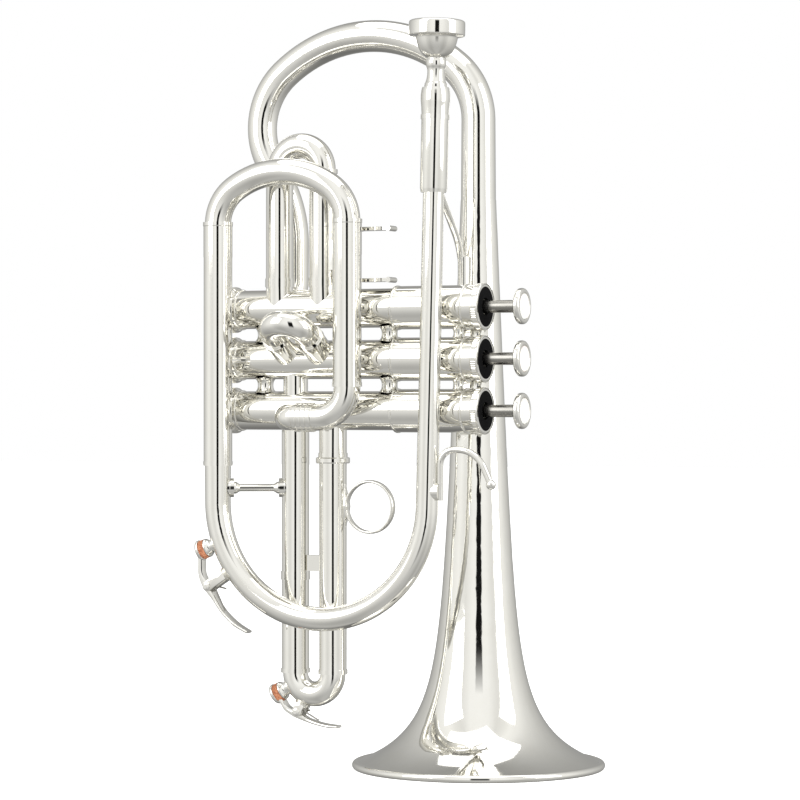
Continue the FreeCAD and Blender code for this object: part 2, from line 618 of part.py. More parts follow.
def build_mouthpiece():
    """rim, bowl, neck and shank turned from one bar, with the cup and backbore inside"""
    rim = "mouth_rim / 2"
    cup = "mouth_cup / 2"
    throat = "mouth_bore / 2"
    # (depth below the top of the rim, radius), down the outside to where the shank enters
    outside = [("rim_round", rim), ("rim_depth - rim_edge", rim), ("rim_depth", rim + " - rim_edge"),
               ("rim_depth", cup + " + bowl_wall"), ("bowl_top", cup + " + bowl_top_wall"),
               ("bowl_mid", cup + " + bowl_mid_wall"), ("bowl_low", cup + " - bowl_low_step"),
               ("bowl_foot", cup + " - bowl_foot_step"), ("neck", throat + " + neck_wall"),
               ("bead_top", throat + " + bead_wall"), ("bead_foot", throat + " + bead_wall"),
               ("waist_top", throat + " + waist_top_wall"), ("waist", throat + " + waist_wall"),
               ("shank_swell", "receiver_bore / 2"), ("shank_top", "receiver_bore / 2 + shank_lip")]
    shank = [("receiver_top + shank_rest", "receiver_bore / 2 + shank_lip"),
             ("receiver_top + shank_rest", "receiver_bore / 2 + shank_step"),
             ("shank_low", "receiver_bore / 2 - shank_fit"),
             ("shank_low", "receiver_bore / 2 - shank_fit - shank_wall")]
    # and back up the bore and the cup
    inside = [("waist", throat), ("cup_foot", throat), ("cup_low", cup + " - cup_low_step"),
              ("cup_mid", cup + " - cup_mid_step"), ("cup_high", cup),
              ("bite_depth", cup + " + bite_low"), ("0", cup + " + rim_bite"), ("0", rim + " - rim_flat")]
    outline = [("mouth_top - (%s)" % depth, radius) for depth, radius in outside]
    outline += shank
    outline += [("mouth_top - (%s)" % depth, radius) for depth, radius in inside]
    node("mouthpiece", on_lead(turned("mouthpiece_bar", outline, None, "Z")))


def build_tuning():
    """fixed sleeves, and the tuning slide that pulls up out of them"""
    left = "bow_x - bow_radius"
    right = "tuning_x"
    sleeves, legs = [], []
    for mark, x, low in (("left", left, "bow_top"), ("right", right, "tuning_sleeve_low")):
        outline = [(low, "leg_outer / 2 + run"), (low, "sleeve_outer / 2 + sleeve_lip"),
                   (low + " + end_ring_length", "sleeve_outer / 2 + sleeve_lip"),
                   (low + " + end_ring_length", "sleeve_outer / 2"),
                   ("tuning_seat - end_ring_length", "sleeve_outer / 2"),
                   ("tuning_seat - end_ring_length", "ferrule_outer / 2"),
                   ("tuning_seat", "ferrule_outer / 2"), ("tuning_seat", "leg_outer / 2 + run")]
        sleeves.append(turned("sleeve_" + mark, outline, (x, "lead_y", "0"), "Z"))
        outline = [("tuning_seat - tuning_reach", "leg_bore / 2"),
                   ("tuning_seat - tuning_reach", "leg_outer / 2"), ("tuning_seat", "leg_outer / 2"),
                   ("tuning_seat", "ferrule_outer / 2"),
                   ("ferrule_top - end_ring_length", "ferrule_outer / 2"),
                   ("ferrule_top - end_ring_length + ring_slope", "ferrule_outer / 2 + sleeve_lip"),
                   ("ferrule_top", "ferrule_outer / 2 + sleeve_lip"),
                   ("ferrule_top", "arch_outer / 2"), ("%.4f" % arch_start(), "arch_outer / 2"),
                   ("%.4f" % arch_start(), "leg_bore / 2")]
        legs.append(turned("leg_" + mark, outline, (x, "lead_y", "0"), "Z"))
    node("tuning_sleeves", *sleeves)
    node("tuning_slide_legs", *legs)
    start = (size("tuning_x"), size("lead_y"), arch_start())
    spread = arch_spread()
    turn = (0, -1, 0)
    moves = [(size("arch_corner"), 90 - spread, turn), (size("arch_radius"), 2 * spread, turn),
             (size("arch_corner"), 90 - spread, turn)]
    node("tuning_slide_crook", bent("arch_tube", start, (0, 0, 1), moves, "arch_outer", None, "tube_wall"))


def arch_spread():
    """half the angle of the tuning crook's flatter top arc"""
    half = (size("tuning_x") - size("bow_x") + size("bow_radius")) / 2
    return math.degrees(math.asin((half - size("arch_corner")) / size("arch_radius - arch_corner")))


def arch_start():
    """the height at which the tuning crook's corners begin"""
    spread = math.radians(arch_spread())
    drop = size("arch_radius") * (1 - math.cos(spread)) + size("arch_corner") * math.cos(spread)
    return size("tuning_top") - drop


def build_elbow():
    """from the short tuning sleeve round into the front of the third casing"""
    level = size("tuning_sleeve_low") - size("elbow_radius")
    start = (size("tuning_x"), size("lead_y"), size("tuning_sleeve_low"))
    along = start[0] - size("elbow_radius") - size("elbow_end")
    moves = [(size("elbow_radius"), 90, (0, 1, 0)), (along,)]
    node("third_valve_elbow", bent("elbow_tube", start, (0, 0, -1), moves, "arch_outer", None, "tube_wall"))
    start = (size("elbow_end"), size("lead_y"), level)
    moves = [(size("knuckle_radius"), 90, (0, 0, -1)),
             (size("valve_y") - size("lead_y") - size("knuckle_radius"),)]
    pipe = bent("third_knuckle_tube", start, (-1, 0, 0), moves, "arch_outer", None, "tube_wall")
    beside = cylinder("third_knuckle_sleeve", "slide_outer", "2 * casing_outer",
                      ("third_left", "valve_y", valve_level(3) + " - 2 * casing_outer"))
    casing = casing_tool("third_knuckle_casing", 3)
    node("third_valve_knuckle", cut("third_knuckle_end", pipe, casing, beside))
    ridges = int(size("elbow_ridges"))
    outline = [("elbow_ring", "arch_outer / 2"), ("0", "arch_outer / 2")]
    for ridge in range(ridges):
        here = "%d * elbow_ring / elbow_ridges" % ridge
        there = "%d * elbow_ring / elbow_ridges - ridge_gap" % (ridge + 1)
        outline += [(here, "elbow_ring_outer / 2 - ridge_depth"),
                    (here + " + ridge_slope", "elbow_ring_outer / 2"),
                    (there + " - ridge_slope", "elbow_ring_outer / 2"),
                    (there, "elbow_ring_outer / 2 - ridge_depth")]
    outline.append(("elbow_ring", "elbow_ring_outer / 2 - ridge_depth"))
    at = ("elbow_end", "lead_y", "tuning_sleeve_low - elbow_radius")
    node("elbow_ferrule", turned("third_knuckle_ring", outline, at))


def crook_bend(name, start, heading, radius, axis, plug):
    """a half-round crook whose ends plug into two tubes"""
    moves = [(plug,), (radius, 180, axis), (plug,)]
    return bent(name, start, heading, moves, "plug_outer", None, "tube_wall")


def build_first_slide():
    """the first valve's slide points up and is drawn out by the thumb saddle"""
    inner, outer = [], []
    for key in ("first_left", "first_right"):
        outline = [("valve_top", "slide_bore / 2"), ("valve_top", "slide_outer / 2"),
                   ("first_seat - end_ring_length", "slide_outer / 2"),
                   ("first_seat - end_ring_length", "slide_outer / 2 + end_ring"),
                   ("first_seat", "slide_outer / 2 + end_ring"), ("first_seat", "slide_inner / 2"),
                   ("first_inner_top", "slide_inner / 2"), ("first_inner_top", "slide_bore / 2")]
        stub = turned("first_stub_" + key, outline, (key, "first_y", "0"), "Z")
        inner.append(cut("first_inner_" + key, stub, casing_tool("first_casing_" + key, 1)))
        outline = [("first_seat", "slide_inner / 2 + run"), ("first_seat", "slide_outer / 2 + end_ring"),
                   ("first_seat + end_ring_length", "slide_outer / 2 + end_ring"),
                   ("first_seat + end_ring_length", "slide_outer / 2"),
                   ("first_bend - end_ring_length", "slide_outer / 2"),
                   ("first_bend - end_ring_length", "slide_outer / 2 + end_ring"),
                   ("first_bend", "slide_outer / 2 + end_ring"), ("first_bend", "slide_inner / 2 + run")]
        outer.append(turned("first_outer_" + key, outline, (key, "first_y", "0"), "Z"))
    node("first_slide_inner_tubes", *inner)
    node("first_slide_tubes", *outer)
    radius = (size("first_right") - size("first_left")) / 2
    plug = size("crook_plug")
    start = (size("first_right"), size("first_y"), size("first_bend") - plug)
    node("first_slide_crook", crook_bend("first_crook", start, (0, 0, 1), radius, (0, -1, 0), plug))
    build_saddle()


def build_saddle():
    """a thumb saddle: a strap bent to a U that opens toward the finger buttons"""
    wide = "saddle_width"
    side = "first_y - saddle_width / 2"
    outer = "2 * saddle_radius + saddle_thick"
    inner = "2 * saddle_radius - saddle_thick"
    centre = ("saddle_x", side, "saddle_level")
    half = tube("saddle_round", outer, inner, wide, centre, ALONG_Y)
    away = box("saddle_open", outer, wide, outer,
               ("saddle_x", side, "saddle_level - saddle_radius - saddle_thick / 2"))
    bend = cut("saddle_bend", half, away)
    prongs = []
    for mark, level in (("low", "saddle_level - saddle_radius"), ("high", "saddle_level + saddle_radius")):
        prongs.append(box("prong_" + mark, "saddle_tip - saddle_x", wide, "saddle_thick",
                          ("saddle_x", side, level + " - saddle_thick / 2")))
        prongs.append(cylinder("prong_lip_" + mark, "saddle_lip", wide,
                               ("saddle_tip", side, level), ALONG_Y))
    foot = box("saddle_pad", "saddle_x - saddle_radius - first_right", wide, "saddle_foot",
               ("first_right", side, "saddle_level - saddle_foot / 2"))
    seat = cylinder("saddle_seat", "slide_outer", "2 * saddle_foot",
                    ("first_right", "first_y", "saddle_level - saddle_foot"))
    clear = cylinder("saddle_clear", inner, wide, centre, ALONG_Y)
    joined = fuse("saddle_joined", bend, *prongs, cut("saddle_pad_shaped", foot, seat, clear))
    node("thumb_saddle", joined)


def second_turn():
    """the second valve's slide points forward and up"""
    return Rotation(Vector(0, 0, 1), second_heading())


def second_heading():
    lift = math.radians(size("second_lift"))
    return Vector(0, -math.cos(lift), math.sin(lift))


def build_second_slide():
    sleeves = []
    for side in (-1, 1):
        x = "second_x + %d * second_pitch / 2" % side
        at = (x, "valve_y", valve_level(2))
        name = "second_sleeve_%s" % ("left" if side < 0 else "right")
        outline = [("0", "slide_inner / 2 + run"), ("0", "slide_outer / 2"),
                   ("second_seat - end_ring_length", "slide_outer / 2"),
                   ("second_seat - end_ring_length", "slide_outer / 2 + end_ring"),
                   ("second_seat", "slide_outer / 2 + end_ring"), ("second_seat", "slide_inner / 2 + run")]
        sleeve = turned(name + "_turned", outline, at, "Z", second_turn())
        sleeves.append(cut(name, sleeve, casing_tool(name + "_casing", 2)))
    node("second_slide_sleeves", *sleeves)
    heading = second_heading()
    x = size("second_x") + size("second_pitch") / 2
    start = Vector(x, size("valve_y"), size(valve_level(2))) + heading * size("second_low")
    reach = size("second_bend") - size("second_low")
    axis = heading.cross(Vector(-1, 0, 0))
    moves = [(reach,), (size("second_pitch") / 2, 180, tuple(axis)), (reach,)]
    node("second_slide_crook", bent("second_crook", tuple(start), tuple(heading), moves, "slide_inner",
                                    None, "tube_wall"))


def build_third_slide():
    """the third valve's long slide hangs down; its finger ring and lug ride on the right leg"""
    level = valve_level(3)
    joint = "third_seat"
    left = ("third_left", "valve_y", "0")
    right = ("third_right", "valve_y", "0")
    outline = [(joint, "slide_inner / 2 + run"), (joint, "slide_outer / 2 + end_ring"),
               (joint + " + end_ring_length", "slide_outer / 2 + end_ring"),
               (joint + " + end_ring_length", "slide_outer / 2"), (level, "slide_outer / 2"),
               (level, "slide_inner / 2 + run")]
    sleeve = cut("third_sleeve", turned("third_sleeve_turned", outline, left, "Z"),
                 casing_tool("third_sleeve_casing", 3))
    band = "third_band"
    outline = [("third_inner_low", "slide_bore / 2"), ("third_inner_low", "slide_inner / 2"),
               (band, "slide_inner / 2"), (band, "slide_outer / 2 + end_ring"),
               (band + " + end_ring_length", "slide_outer / 2 + end_ring"),
               (band + " + end_ring_length", "slide_outer / 2"), (level, "slide_outer / 2"),
               (level, "slide_bore / 2")]
    inner = cut("third_inner", turned("third_inner_turned", outline, right, "Z"),
                casing_tool("third_inner_casing", 3))
    node("third_slide_fixed_tubes", sleeve, inner)
    outline = [("third_bend", "slide_inner / 2 + run"), ("third_bend", "slide_outer / 2 + end_ring"),
               ("third_bend + end_ring_length", "slide_outer / 2 + end_ring"),
               ("third_bend + end_ring_length", "slide_outer / 2"),
               (joint + " - end_ring_length", "slide_outer / 2"),
               (joint + " - end_ring_length", "slide_outer / 2 + end_ring"),
               (joint, "slide_outer / 2 + end_ring"), (joint, "slide_inner / 2"),
               ("third_inner_top", "slide_inner / 2"), ("third_inner_top", "slide_bore / 2"),
               (joint + " - shoulder", "slide_bore / 2"), (joint + " - shoulder", "slide_inner / 2 + run")]
    left_leg = turned("third_left_leg", outline, left, "Z")
    outline = [("third_bend", "slide_inner / 2 + run"), ("third_bend", "slide_outer / 2 + end_ring"),
               ("third_bend + end_ring_length", "slide_outer / 2 + end_ring"),
               ("third_bend + end_ring_length", "slide_outer / 2"),
               (band + " - band_length", "slide_outer / 2"),
               (band + " - band_length", "band_outer / 2 - band_slope"),
               (band + " - band_length + band_edge", "band_outer / 2"),
               (band + " - band_edge", "band_outer / 2"), (band, "band_outer / 2 - band_slope"),
               (band, "slide_inner / 2 + run")]
    right_leg = turned("third_right_leg", outline, right, "Z")
    node("third_slide_tubes", left_leg, right_leg)
    radius = (size("third_right") - size("third_left")) / 2
    plug = size("crook_plug")
    start = (size("third_right"), size("valve_y"), size("third_bend") + plug)
    node("third_slide_crook", crook_bend("third_crook", start, (0, 0, -1), radius, (0, 1, 0), plug))
    build_finger_ring()
    build_lug()


def build_finger_ring():
    side = "valve_y - finger_ring_width / 2"
    centre = ("third_right + slide_outer / 2 + finger_ring_outer / 2", side, "finger_ring_level")
    band = tube("ring_band", "finger_ring_outer", "finger_ring_outer - 2 * finger_ring_wall",
                "finger_ring_width", centre, ALONG_Y)
    pad = box("ring_pad", "slide_outer / 2 + finger_ring_pad", "2 * finger_ring_width", "finger_ring_foot",
              ("third_right", "valve_y - finger_ring_width", "finger_ring_level - finger_ring_foot / 2"))
    seat = cylinder("ring_seat", "slide_outer", "2 * finger_ring_foot",
                    ("third_right", "valve_y", "finger_ring_level - finger_ring_foot"))
    clear = cylinder("ring_clear", "finger_ring_outer - 2 * finger_ring_wall", "4 * finger_ring_width",
                     (centre[0], "valve_y - 2 * finger_ring_width", "finger_ring_level"), ALONG_Y)
    node("finger_ring", fuse("ring_joined", band, cut("ring_pad_shaped", pad, seat, clear)))


def build_lug():
    """a guide lug on the moving leg that runs along the fixed sleeve beside it"""
    bar = box("lug_bar", "third_right - third_left", "finger_ring_width", "lug_height",
              ("third_left", "valve_y - finger_ring_width / 2", "lug_level - lug_height / 2"))
    seat = cylinder("lug_seat", "slide_outer", "3 * lug_height",
                    ("third_right", "valve_y", "lug_level - 1.5 * lug_height"))
    clear = cylinder("lug_clear", "slide_outer + 2 * end_ring + 2 * lug_gap", "3 * lug_height",
                     ("third_left", "valve_y", "lug_level - 1.5 * lug_height"))
    node("slide_lug", cut("lug", bar, seat, clear))


def brace(name, ends):
    """a rod between two tubes, with a round foot on each

    each end is (axis point, tube diameter, cutting cylinder, foot diameter)"""
    points = [Vector(*end[0]) for end in ends]
    heading = points[1] - points[0]
    pieces = []
    for mark, point, direction, (_, across, _, pad) in (("a", points[0], heading, ends[0]),
                                                         ("b", points[1], -heading, ends[1])):
        foot = doc.addObject("Part::Cylinder", name + "_foot_" + mark)
        bind(foot, Radius="%s / 2" % pad, Height="(%s) / 2 + foot_depth" % across)
        foot.Placement = Placement(point, Rotation(Vector(0, 0, 1), direction))
        pieces.append(foot)
    rod = doc.addObject("Part::Cylinder", name + "_rod")
    bind(rod, Radius="rod_outer / 2")
    rod.Height = heading.Length
    rod.Placement = Placement(points[0], Rotation(Vector(0, 0, 1), heading))
    return cut(name, fuse(name + "_joined", rod, *pieces), ends[0][2], ends[1][2])


def upright(name, across, x, y, level):
    """a vertical cutting cylinder where a brace foot sits on a vertical tube"""
    return cylinder(name, across, "6 * foot_outer", (x, y, level + " - 3 * foot_outer"))


def lead_axis_x(level):
    """where the leadpipe's axis stands at one height"""
    return lead_foot().x + (level - lead_foot().z) * math.tan(math.radians(size("lean")))


def baluster_tool(name):
    """the wide part of the second casing, to shape a brace's foot"""
    at = ("ledge", "valve_y", valve_level(2))
    return cylinder(name, "baluster_outer", "casing_mouth - ledge", at, ALONG_X)


def build_braces():
    left = size("bow_x - bow_radius")
    lead_y, valve_y, level = size("lead_y"), size("valve_y"), size("bow_brace_level")
    bow_tool = upright("bow_brace_tool_a", "arch_outer", "bow_x - bow_radius", "lead_y", "bow_brace_level")
    leg_tool = upright("bow_brace_tool_b", "slide_outer", "third_left", "valve_y", "bow_brace_level")
    low = brace("bow_brace", [
        ((left, lead_y, level), "arch_outer", bow_tool, "foot_outer"),
        ((size("third_left"), valve_y, level), "slide_outer", leg_tool, "foot_outer")])
    level = size("brace_level")
    sleeve_tool = upright("case_brace_tool_a", "sleeve_outer", "bow_x - bow_radius", "lead_y", "brace_level")
    casing = casing_tool("case_brace_tool_b", 2)
    case = brace("case_brace", [
        ((left, lead_y, level), "sleeve_outer", sleeve_tool, "foot_small"),
        ((size("case_brace_x"), valve_y, level), "casing_outer", casing, "foot_outer")])
    along = lead_axis_x(level)
    lead_tool = lead_cone("lead_brace_tool_a", "0")
    lead = brace("lead_brace", [
        ((along, lead_y, level), "bow_outer_lead", lead_tool, "foot_small"),
        ((along, valve_y, level), "baluster_outer", baluster_tool("lead_brace_tool_b"), "foot_small")])
    outside = bell_solid("bell_brace_tool_b", 0, size("sheet_start"), size("bell_top"))
    baluster = baluster_tool("bell_brace_tool_a")
    bell = brace("bell_brace", [
        ((size("bell_brace_x"), valve_y, level), "baluster_outer", baluster, "foot_outer"),
        ((0, 0, level), "%.4f" % (2 * bell_radius(level)), outside, "foot_outer")])
    node("braces", low, case, lead, bell)


def build_stay():
    """a curved stay from the leadpipe back to the bell"""
    start = (lead_axis_x(size("stay_level")), size("lead_y + stay_start"), size("stay_level"))
    down = (-1, 0, 0)
    turn = size("stay_turn")
    moves = [(size("stay_bend"), turn, down), (size("stay_run"),), (size("stay_sweep"), turn, down),
             (size("stay_end"),)]
    rod = bent("stay_rod", start, (0, 1, 0), moves, "stay_outer")
    _, place, _ = route(start, (0, 1, 0), moves)
    shift = Vector(size("stay_pad_x"), size("stay_pad_y"), 0)
    pad = disc("stay_pad_round", "stay_pad", "stay_pad_length", place + shift, UP)
    joined = fuse("stay_joined", rod, pad)
    bell = bell_solid("stay_bell", 0, size("sheet_start"), size("bell_top"))
    receiver = on_lead(disc("stay_receiver", "receiver_outer", "receiver_top", Vector(), UP))
    node("bell_stay", cut("stay", joined, bell, receiver))


def build_hook():
    """the little-finger hook, soldered to the leadpipe's side"""
    start = (size("hook_x"), size("lead_y"), size("hook_low"))
    turn = (0, 1, 0)
    moves = [(size("hook_rise"),), (size("hook_corner"), 90, turn), (size("hook_flat"),),
             (size("hook_sweep"), size("hook_turn"), turn), (size("hook_drop"),)]
    rod = bent("hook_rod", start, (0, 0, 1), moves, "hook_outer")
    _, place, _ = route(start, (0, 0, 1), moves)
    ball = doc.addObject("Part::Sphere", "hook_ball_end")
    bind(ball, Radius="hook_ball / 2")
    ball.Placement = Placement(place, UP)
    foot = cylinder("hook_pad", "hook_foot", "hook_stand",
                    ("bow_x + bow_radius", "lead_y", "hook_low + hook_foot / 2"), ALONG_X)
    joined = fuse("hook_joined", rod, ball, foot)
    node("pinky_hook", cut("hook", joined, lead_cone("hook_tool", "0")))


def flat_link(name, start, goal, wide, thick):
    """a flat bar in the XZ plane from one point to another"""
    heading = goal - start
    bar = doc.addObject("Part::Box", name)
    bind(bar, Width=wide, Height=thick)
    bar.Length = heading.Length
    turn = Rotation(Vector(0, 1, 0), -math.degrees(math.atan2(heading.z, heading.x)))
    offset = turn.multVec(Vector(0, -size(wide) / 2, -size(thick) / 2))
    bar.Placement = Placement(start + offset, turn)
    return bar


def disc(name, across, depth, place, turn):
    """a short cylinder at a place worked out in code"""
    thing = doc.addObject("Part::Cylinder", name)
    bind(thing, Radius="(%s) / 2" % across, Height=depth)
    thing.Placement = Placement(place, turn)
    return thing


def outward(angle):
    """the direction at an angle round a bend that lies in the XZ plane"""
    return Vector(math.cos(math.radians(angle)), 0, math.sin(math.radians(angle)))


def key_saddle(name, centre, reach, across, out, pivot):
    """the nipple round the drain hole, and the two plates that hold the pin"""
    facing = Rotation(Vector(0, 0, 1), out)
    seat = reach + size(across) / 2 + size("nipple_height")
    tube_tool = doc.addObject("Part::Torus", name + "tube_tool")
    bind(tube_tool, Radius2="(%s) / 2" % across)
    tube_tool.Radius1 = reach
    tube_tool.Placement = Placement(centre, Rotation(Vector(1, 0, 0), 90))
    root = centre + out * (seat - size("nipple_height + nipple_root"))
    nipple = disc(name + "nipple", "nipple_outer", "nipple_height + nipple_root", root, facing)
    drain = disc(name + "drain", "nipple_bore", "nipple_height + nipple_root", root, facing)
    pin_hole = disc(name + "pin_hole", "pin_outer", "pin_length", pin_start(pivot), ALONG_Y)
    parts = [cut(name + "nipple_shaped", nipple, tube_tool, drain)]
    toward = (pivot - centre).normalize()
    low = centre + toward * reach
    turn = Rotation(Vector(0, 1, 0), math.degrees(math.atan2(toward.x, toward.z)))
    shift = turn.multVec(Vector(-size("plate_width") / 2, 0, 0))
    for hand in (-1, 1):
        middle = hand * size("lever_width / 2 + plate_gap + plate_thick / 2")
        plate = doc.addObject("Part::Box", name + "plate")
        bind(plate, Width="plate_thick", Length="plate_width")
        plate.Height = (pivot - low).Length + size("barrel_key") / 2
        plate.Placement = Placement(low + shift + Vector(0, middle - size("plate_thick") / 2, 0), turn)
        parts.append(cut(name + "plate_shaped", plate, tube_tool, pin_hole))
    return parts


def pin_start(pivot):
    """the near end of a water key's pin"""
    return pivot - Vector(0, size("pin_length") / 2, 0)


def key_lever(name, centre, cork_low, out, pivot, tip):
    """a barrel on the pin, an arm round to the cork holder and an arm to the thumb pad"""
    holder_low = cork_low + size("cork_depth")
    half_width = Vector(0, size("lever_width") / 2, 0)
    holder = disc(name + "holder", "cork_outer + 2 * holder_lip", "holder_depth", centre + out * holder_low,
                  Rotation(Vector(0, 0, 1), out))
    arm_end = centre + out * (holder_low + size("holder_depth + lever_thick / 2 - arm_sink"))
    barrel = disc(name + "barrel", "barrel_key", "lever_width", pivot - half_width, ALONG_Y)
    beyond = (pivot - centre) - out * (pivot - centre).dot(out)
    elbow = arm_end + beyond.normalize() * size("cork_outer / 2 + holder_lip + arm_room")
    arms = [flat_link(name + "cork_arm", elbow, arm_end, "lever_width", "lever_thick"),
            flat_link(name + "drop_arm", pivot, elbow, "lever_width", "lever_thick"),
            disc(name + "arm_elbow", "lever_thick", "lever_width", elbow - half_width, ALONG_Y),
            flat_link(name + "thumb_arm", pivot, tip, "lever_width", "lever_thick")]
    pad_turn = Rotation(Vector(0, 0, 1), Vector(tip.z - pivot.z, 0, pivot.x - tip.x))
    sink = pad_turn.multVec(Vector(0, 0, size("pad_depth") / 2))
    pad = disc(name + "pad", "pad_outer", "pad_depth", tip - sink, pad_turn)
    pin_bore = disc(name + "pin_bore", "pin_outer", "pin_length", pin_start(pivot), ALONG_Y)
    return cut(name + "lever", fuse(name + "lever_joined", barrel, *arms, holder, pad), pin_bore)


def build_key(mark, centre, reach, across):
    """one water key: its saddle, pin and cork, and the lever that the cork is glued to"""
    name = mark + "_key_"
    surface = reach + size(across) / 2
    out = outward(size(mark + "_cork_angle"))
    pivot, tip = (centre + outward(size("%s_%s_angle" % (mark, spot)))
                  * (surface + size("%s_%s_stand" % (mark, spot))) for spot in ("pivot", "tip"))
    cork_low = surface + size("nipple_height + cork_gap")
    node("water_key_saddle_" + mark, *key_saddle(name, centre, reach, across, out, pivot))
    pin = disc(name + "pin", "pin_outer - 2 * run", "pin_length", pin_start(pivot), ALONG_Y)
    node("water_key_pin_" + mark, pin)
    node("water_key_lever_" + mark, key_lever(name, centre, cork_low, out, pivot, tip))
    cork = disc(name + "cork", "cork_outer", "cork_depth", centre + out * cork_low,
                Rotation(Vector(0, 0, 1), out))
    node("water_key_cork_" + mark, cork)


def build_keys():
    bow_centre = Vector(size("bow_x"), size("lead_y"), size("bow_level"))
    build_key("bow", bow_centre, size("bow_radius"), "arch_outer")
    bend_centre = Vector(size("(third_left + third_right) / 2"), size("valve_y"), size("third_bend"))
    build_key("third", bend_centre, size("(third_right - third_left) / 2"), "plug_outer")


def check_and_write():
    """recompute, refuse anything broken, and write one file for each sub-part"""
    doc.recompute()
    for thing in doc.Objects:
        if "Invalid" in thing.State or "Error" in thing.State:
            raise RuntimeError("not computed: " + thing.Name)
    os.makedirs("parts", exist_ok=True)
    for label, thing in nodes.items():
        if thing.Shape.isNull() or not thing.Shape.isValid():
            raise RuntimeError("bad shape: " + label)
        thing.Shape.exportStep("parts/%s.step" % label)


fill_sheet()
build_bell()
build_crook()
for valve in (1, 2, 3):
    build_casing(valve)
    build_piston(valve)
build_caps()
build_guides()
build_links()
build_lead()
build_tuning()
build_elbow()
build_first_slide()
build_second_slide()
build_third_slide()
build_braces()
build_stay()
build_hook()
build_keys()
check_and_write()
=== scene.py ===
# %% [markdown]
# # A silver-plated cornet
# The frame holds every part of the horn at its true size and place, in metres.
# This lesson gives each part its finish, adds the small pieces that a maker turns,
# files and winds by hand, and sets up a white studio round it.

# %% Load the frame
import bpy
import json
import math
from mathutils import Matrix, Vector


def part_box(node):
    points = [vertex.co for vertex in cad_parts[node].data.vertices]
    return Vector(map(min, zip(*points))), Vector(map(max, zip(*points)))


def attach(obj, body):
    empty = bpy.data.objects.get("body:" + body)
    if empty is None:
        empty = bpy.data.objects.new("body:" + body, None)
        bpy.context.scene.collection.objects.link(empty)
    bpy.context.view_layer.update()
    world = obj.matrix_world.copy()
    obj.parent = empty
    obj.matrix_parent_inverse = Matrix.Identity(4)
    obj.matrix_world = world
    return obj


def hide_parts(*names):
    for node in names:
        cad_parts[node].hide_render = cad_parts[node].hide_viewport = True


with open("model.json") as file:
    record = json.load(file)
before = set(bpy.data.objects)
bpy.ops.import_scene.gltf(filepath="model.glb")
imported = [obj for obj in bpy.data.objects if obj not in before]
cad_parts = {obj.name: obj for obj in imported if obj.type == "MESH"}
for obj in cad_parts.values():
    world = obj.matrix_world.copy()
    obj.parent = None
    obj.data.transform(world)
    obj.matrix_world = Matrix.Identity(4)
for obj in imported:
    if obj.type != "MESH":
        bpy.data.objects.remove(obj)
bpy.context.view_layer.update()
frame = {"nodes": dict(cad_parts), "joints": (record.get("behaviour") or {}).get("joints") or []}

MM = 0.001
parts = frame["nodes"]


# %% [markdown]
# ## Small helpers
# Blender's shader colours are linear, while a colour card gives sRGB hex values, so one
# function turns one into the other. Another adds a shader node with its settings and links.

# %% Colour and node helpers
def linear(card):
    """a colour card's hex value as a linear colour"""
    channels = [int(card[i:i + 2], 16) / 255 for i in (1, 3, 5)]
    return [c / 12.92 if c <= 0.04045 else ((c + 0.055) / 1.055) ** 2.4 for c in channels] + [1]


def add_node(tree, kind, inputs=(), **settings):
    """one shader node, its settings, and its inputs as numbers or as links from other sockets"""
    made = tree.nodes.new(kind)
    for key, value in settings.items():
        setattr(made, key, value)
    for socket, value in dict(inputs).items():
        if isinstance(value, bpy.types.NodeSocket):
            tree.links.new(value, made.inputs[socket])
        else:
            made.inputs[socket].default_value = value
    return made


def new_material(name):
    """an empty material with its output node"""
    made = bpy.data.materials.new(name)
    made.use_nodes = True
    made.node_tree.nodes.clear()
    out = add_node(made.node_tree, "ShaderNodeOutputMaterial")
    return made, made.node_tree, out


# %% [markdown]
# ## Silver plate
# The horn is brass, plated with silver and polished with rouge on a soft wheel. That gives
# the eye a mirror with a very slight warmth, faint cloudiness where fingers and air have
# touched it, and hairlines that only show as a soft haze. The haze is a slow noise on the
# roughness, with patches about 12 mm across, and the hairlines are a fine shallow bump.

# %% Silver plate
def silver_plate(name, bright, warm, polish, cloud):
    made, tree, out = new_material(name)
    place = add_node(tree, "ShaderNodeTexCoord")
    patches = add_node(tree, "ShaderNodeTexNoise", {"Vector": place.outputs["Object"],
                       "Scale": 1 / (12 * MM), "Detail": 3.0, "Roughness": 0.5})
    tone = add_node(tree, "ShaderNodeMix", {"Factor": patches.outputs["Fac"]}, data_type="RGBA")
    tone.inputs[6].default_value = linear(bright)
    tone.inputs[7].default_value = linear(warm)
    haze = add_node(tree, "ShaderNodeMapRange", {"Value": patches.outputs["Fac"], "From Min": 0.35,
                    "From Max": 0.75, "To Min": polish, "To Max": polish + cloud})
    fine = add_node(tree, "ShaderNodeTexNoise", {"Vector": place.outputs["Object"],
                    "Scale": 1 / (0.8 * MM), "Detail": 2.0})
    relief = add_node(tree, "ShaderNodeBump", {"Height": fine.outputs["Fac"], "Strength": 0.02,
                      "Distance": 0.02 * MM})
    metal = add_node(tree, "ShaderNodeBsdfPrincipled", {"Base Color": tone.outputs[2],
                     "Roughness": haze.outputs["Result"], "Normal": relief.outputs["Normal"],
                     "Metallic": 1.0})
    tree.links.new(metal.outputs["BSDF"], out.inputs["Surface"])
    return made


SILVER = silver_plate("silver_plate", "#F8F7F3", "#F1EFE8", 0.035, 0.045)
STEM = silver_plate("brushed_stem", "#A9A7A2", "#94928D", 0.20, 0.08)
PISTON = silver_plate("ground_nickel", "#D9D8D3", "#CBC9C2", 0.14, 0.10)
WIRE = silver_plate("spring_wire", "#D6D3CB", "#BDB9AF", 0.18, 0.10)


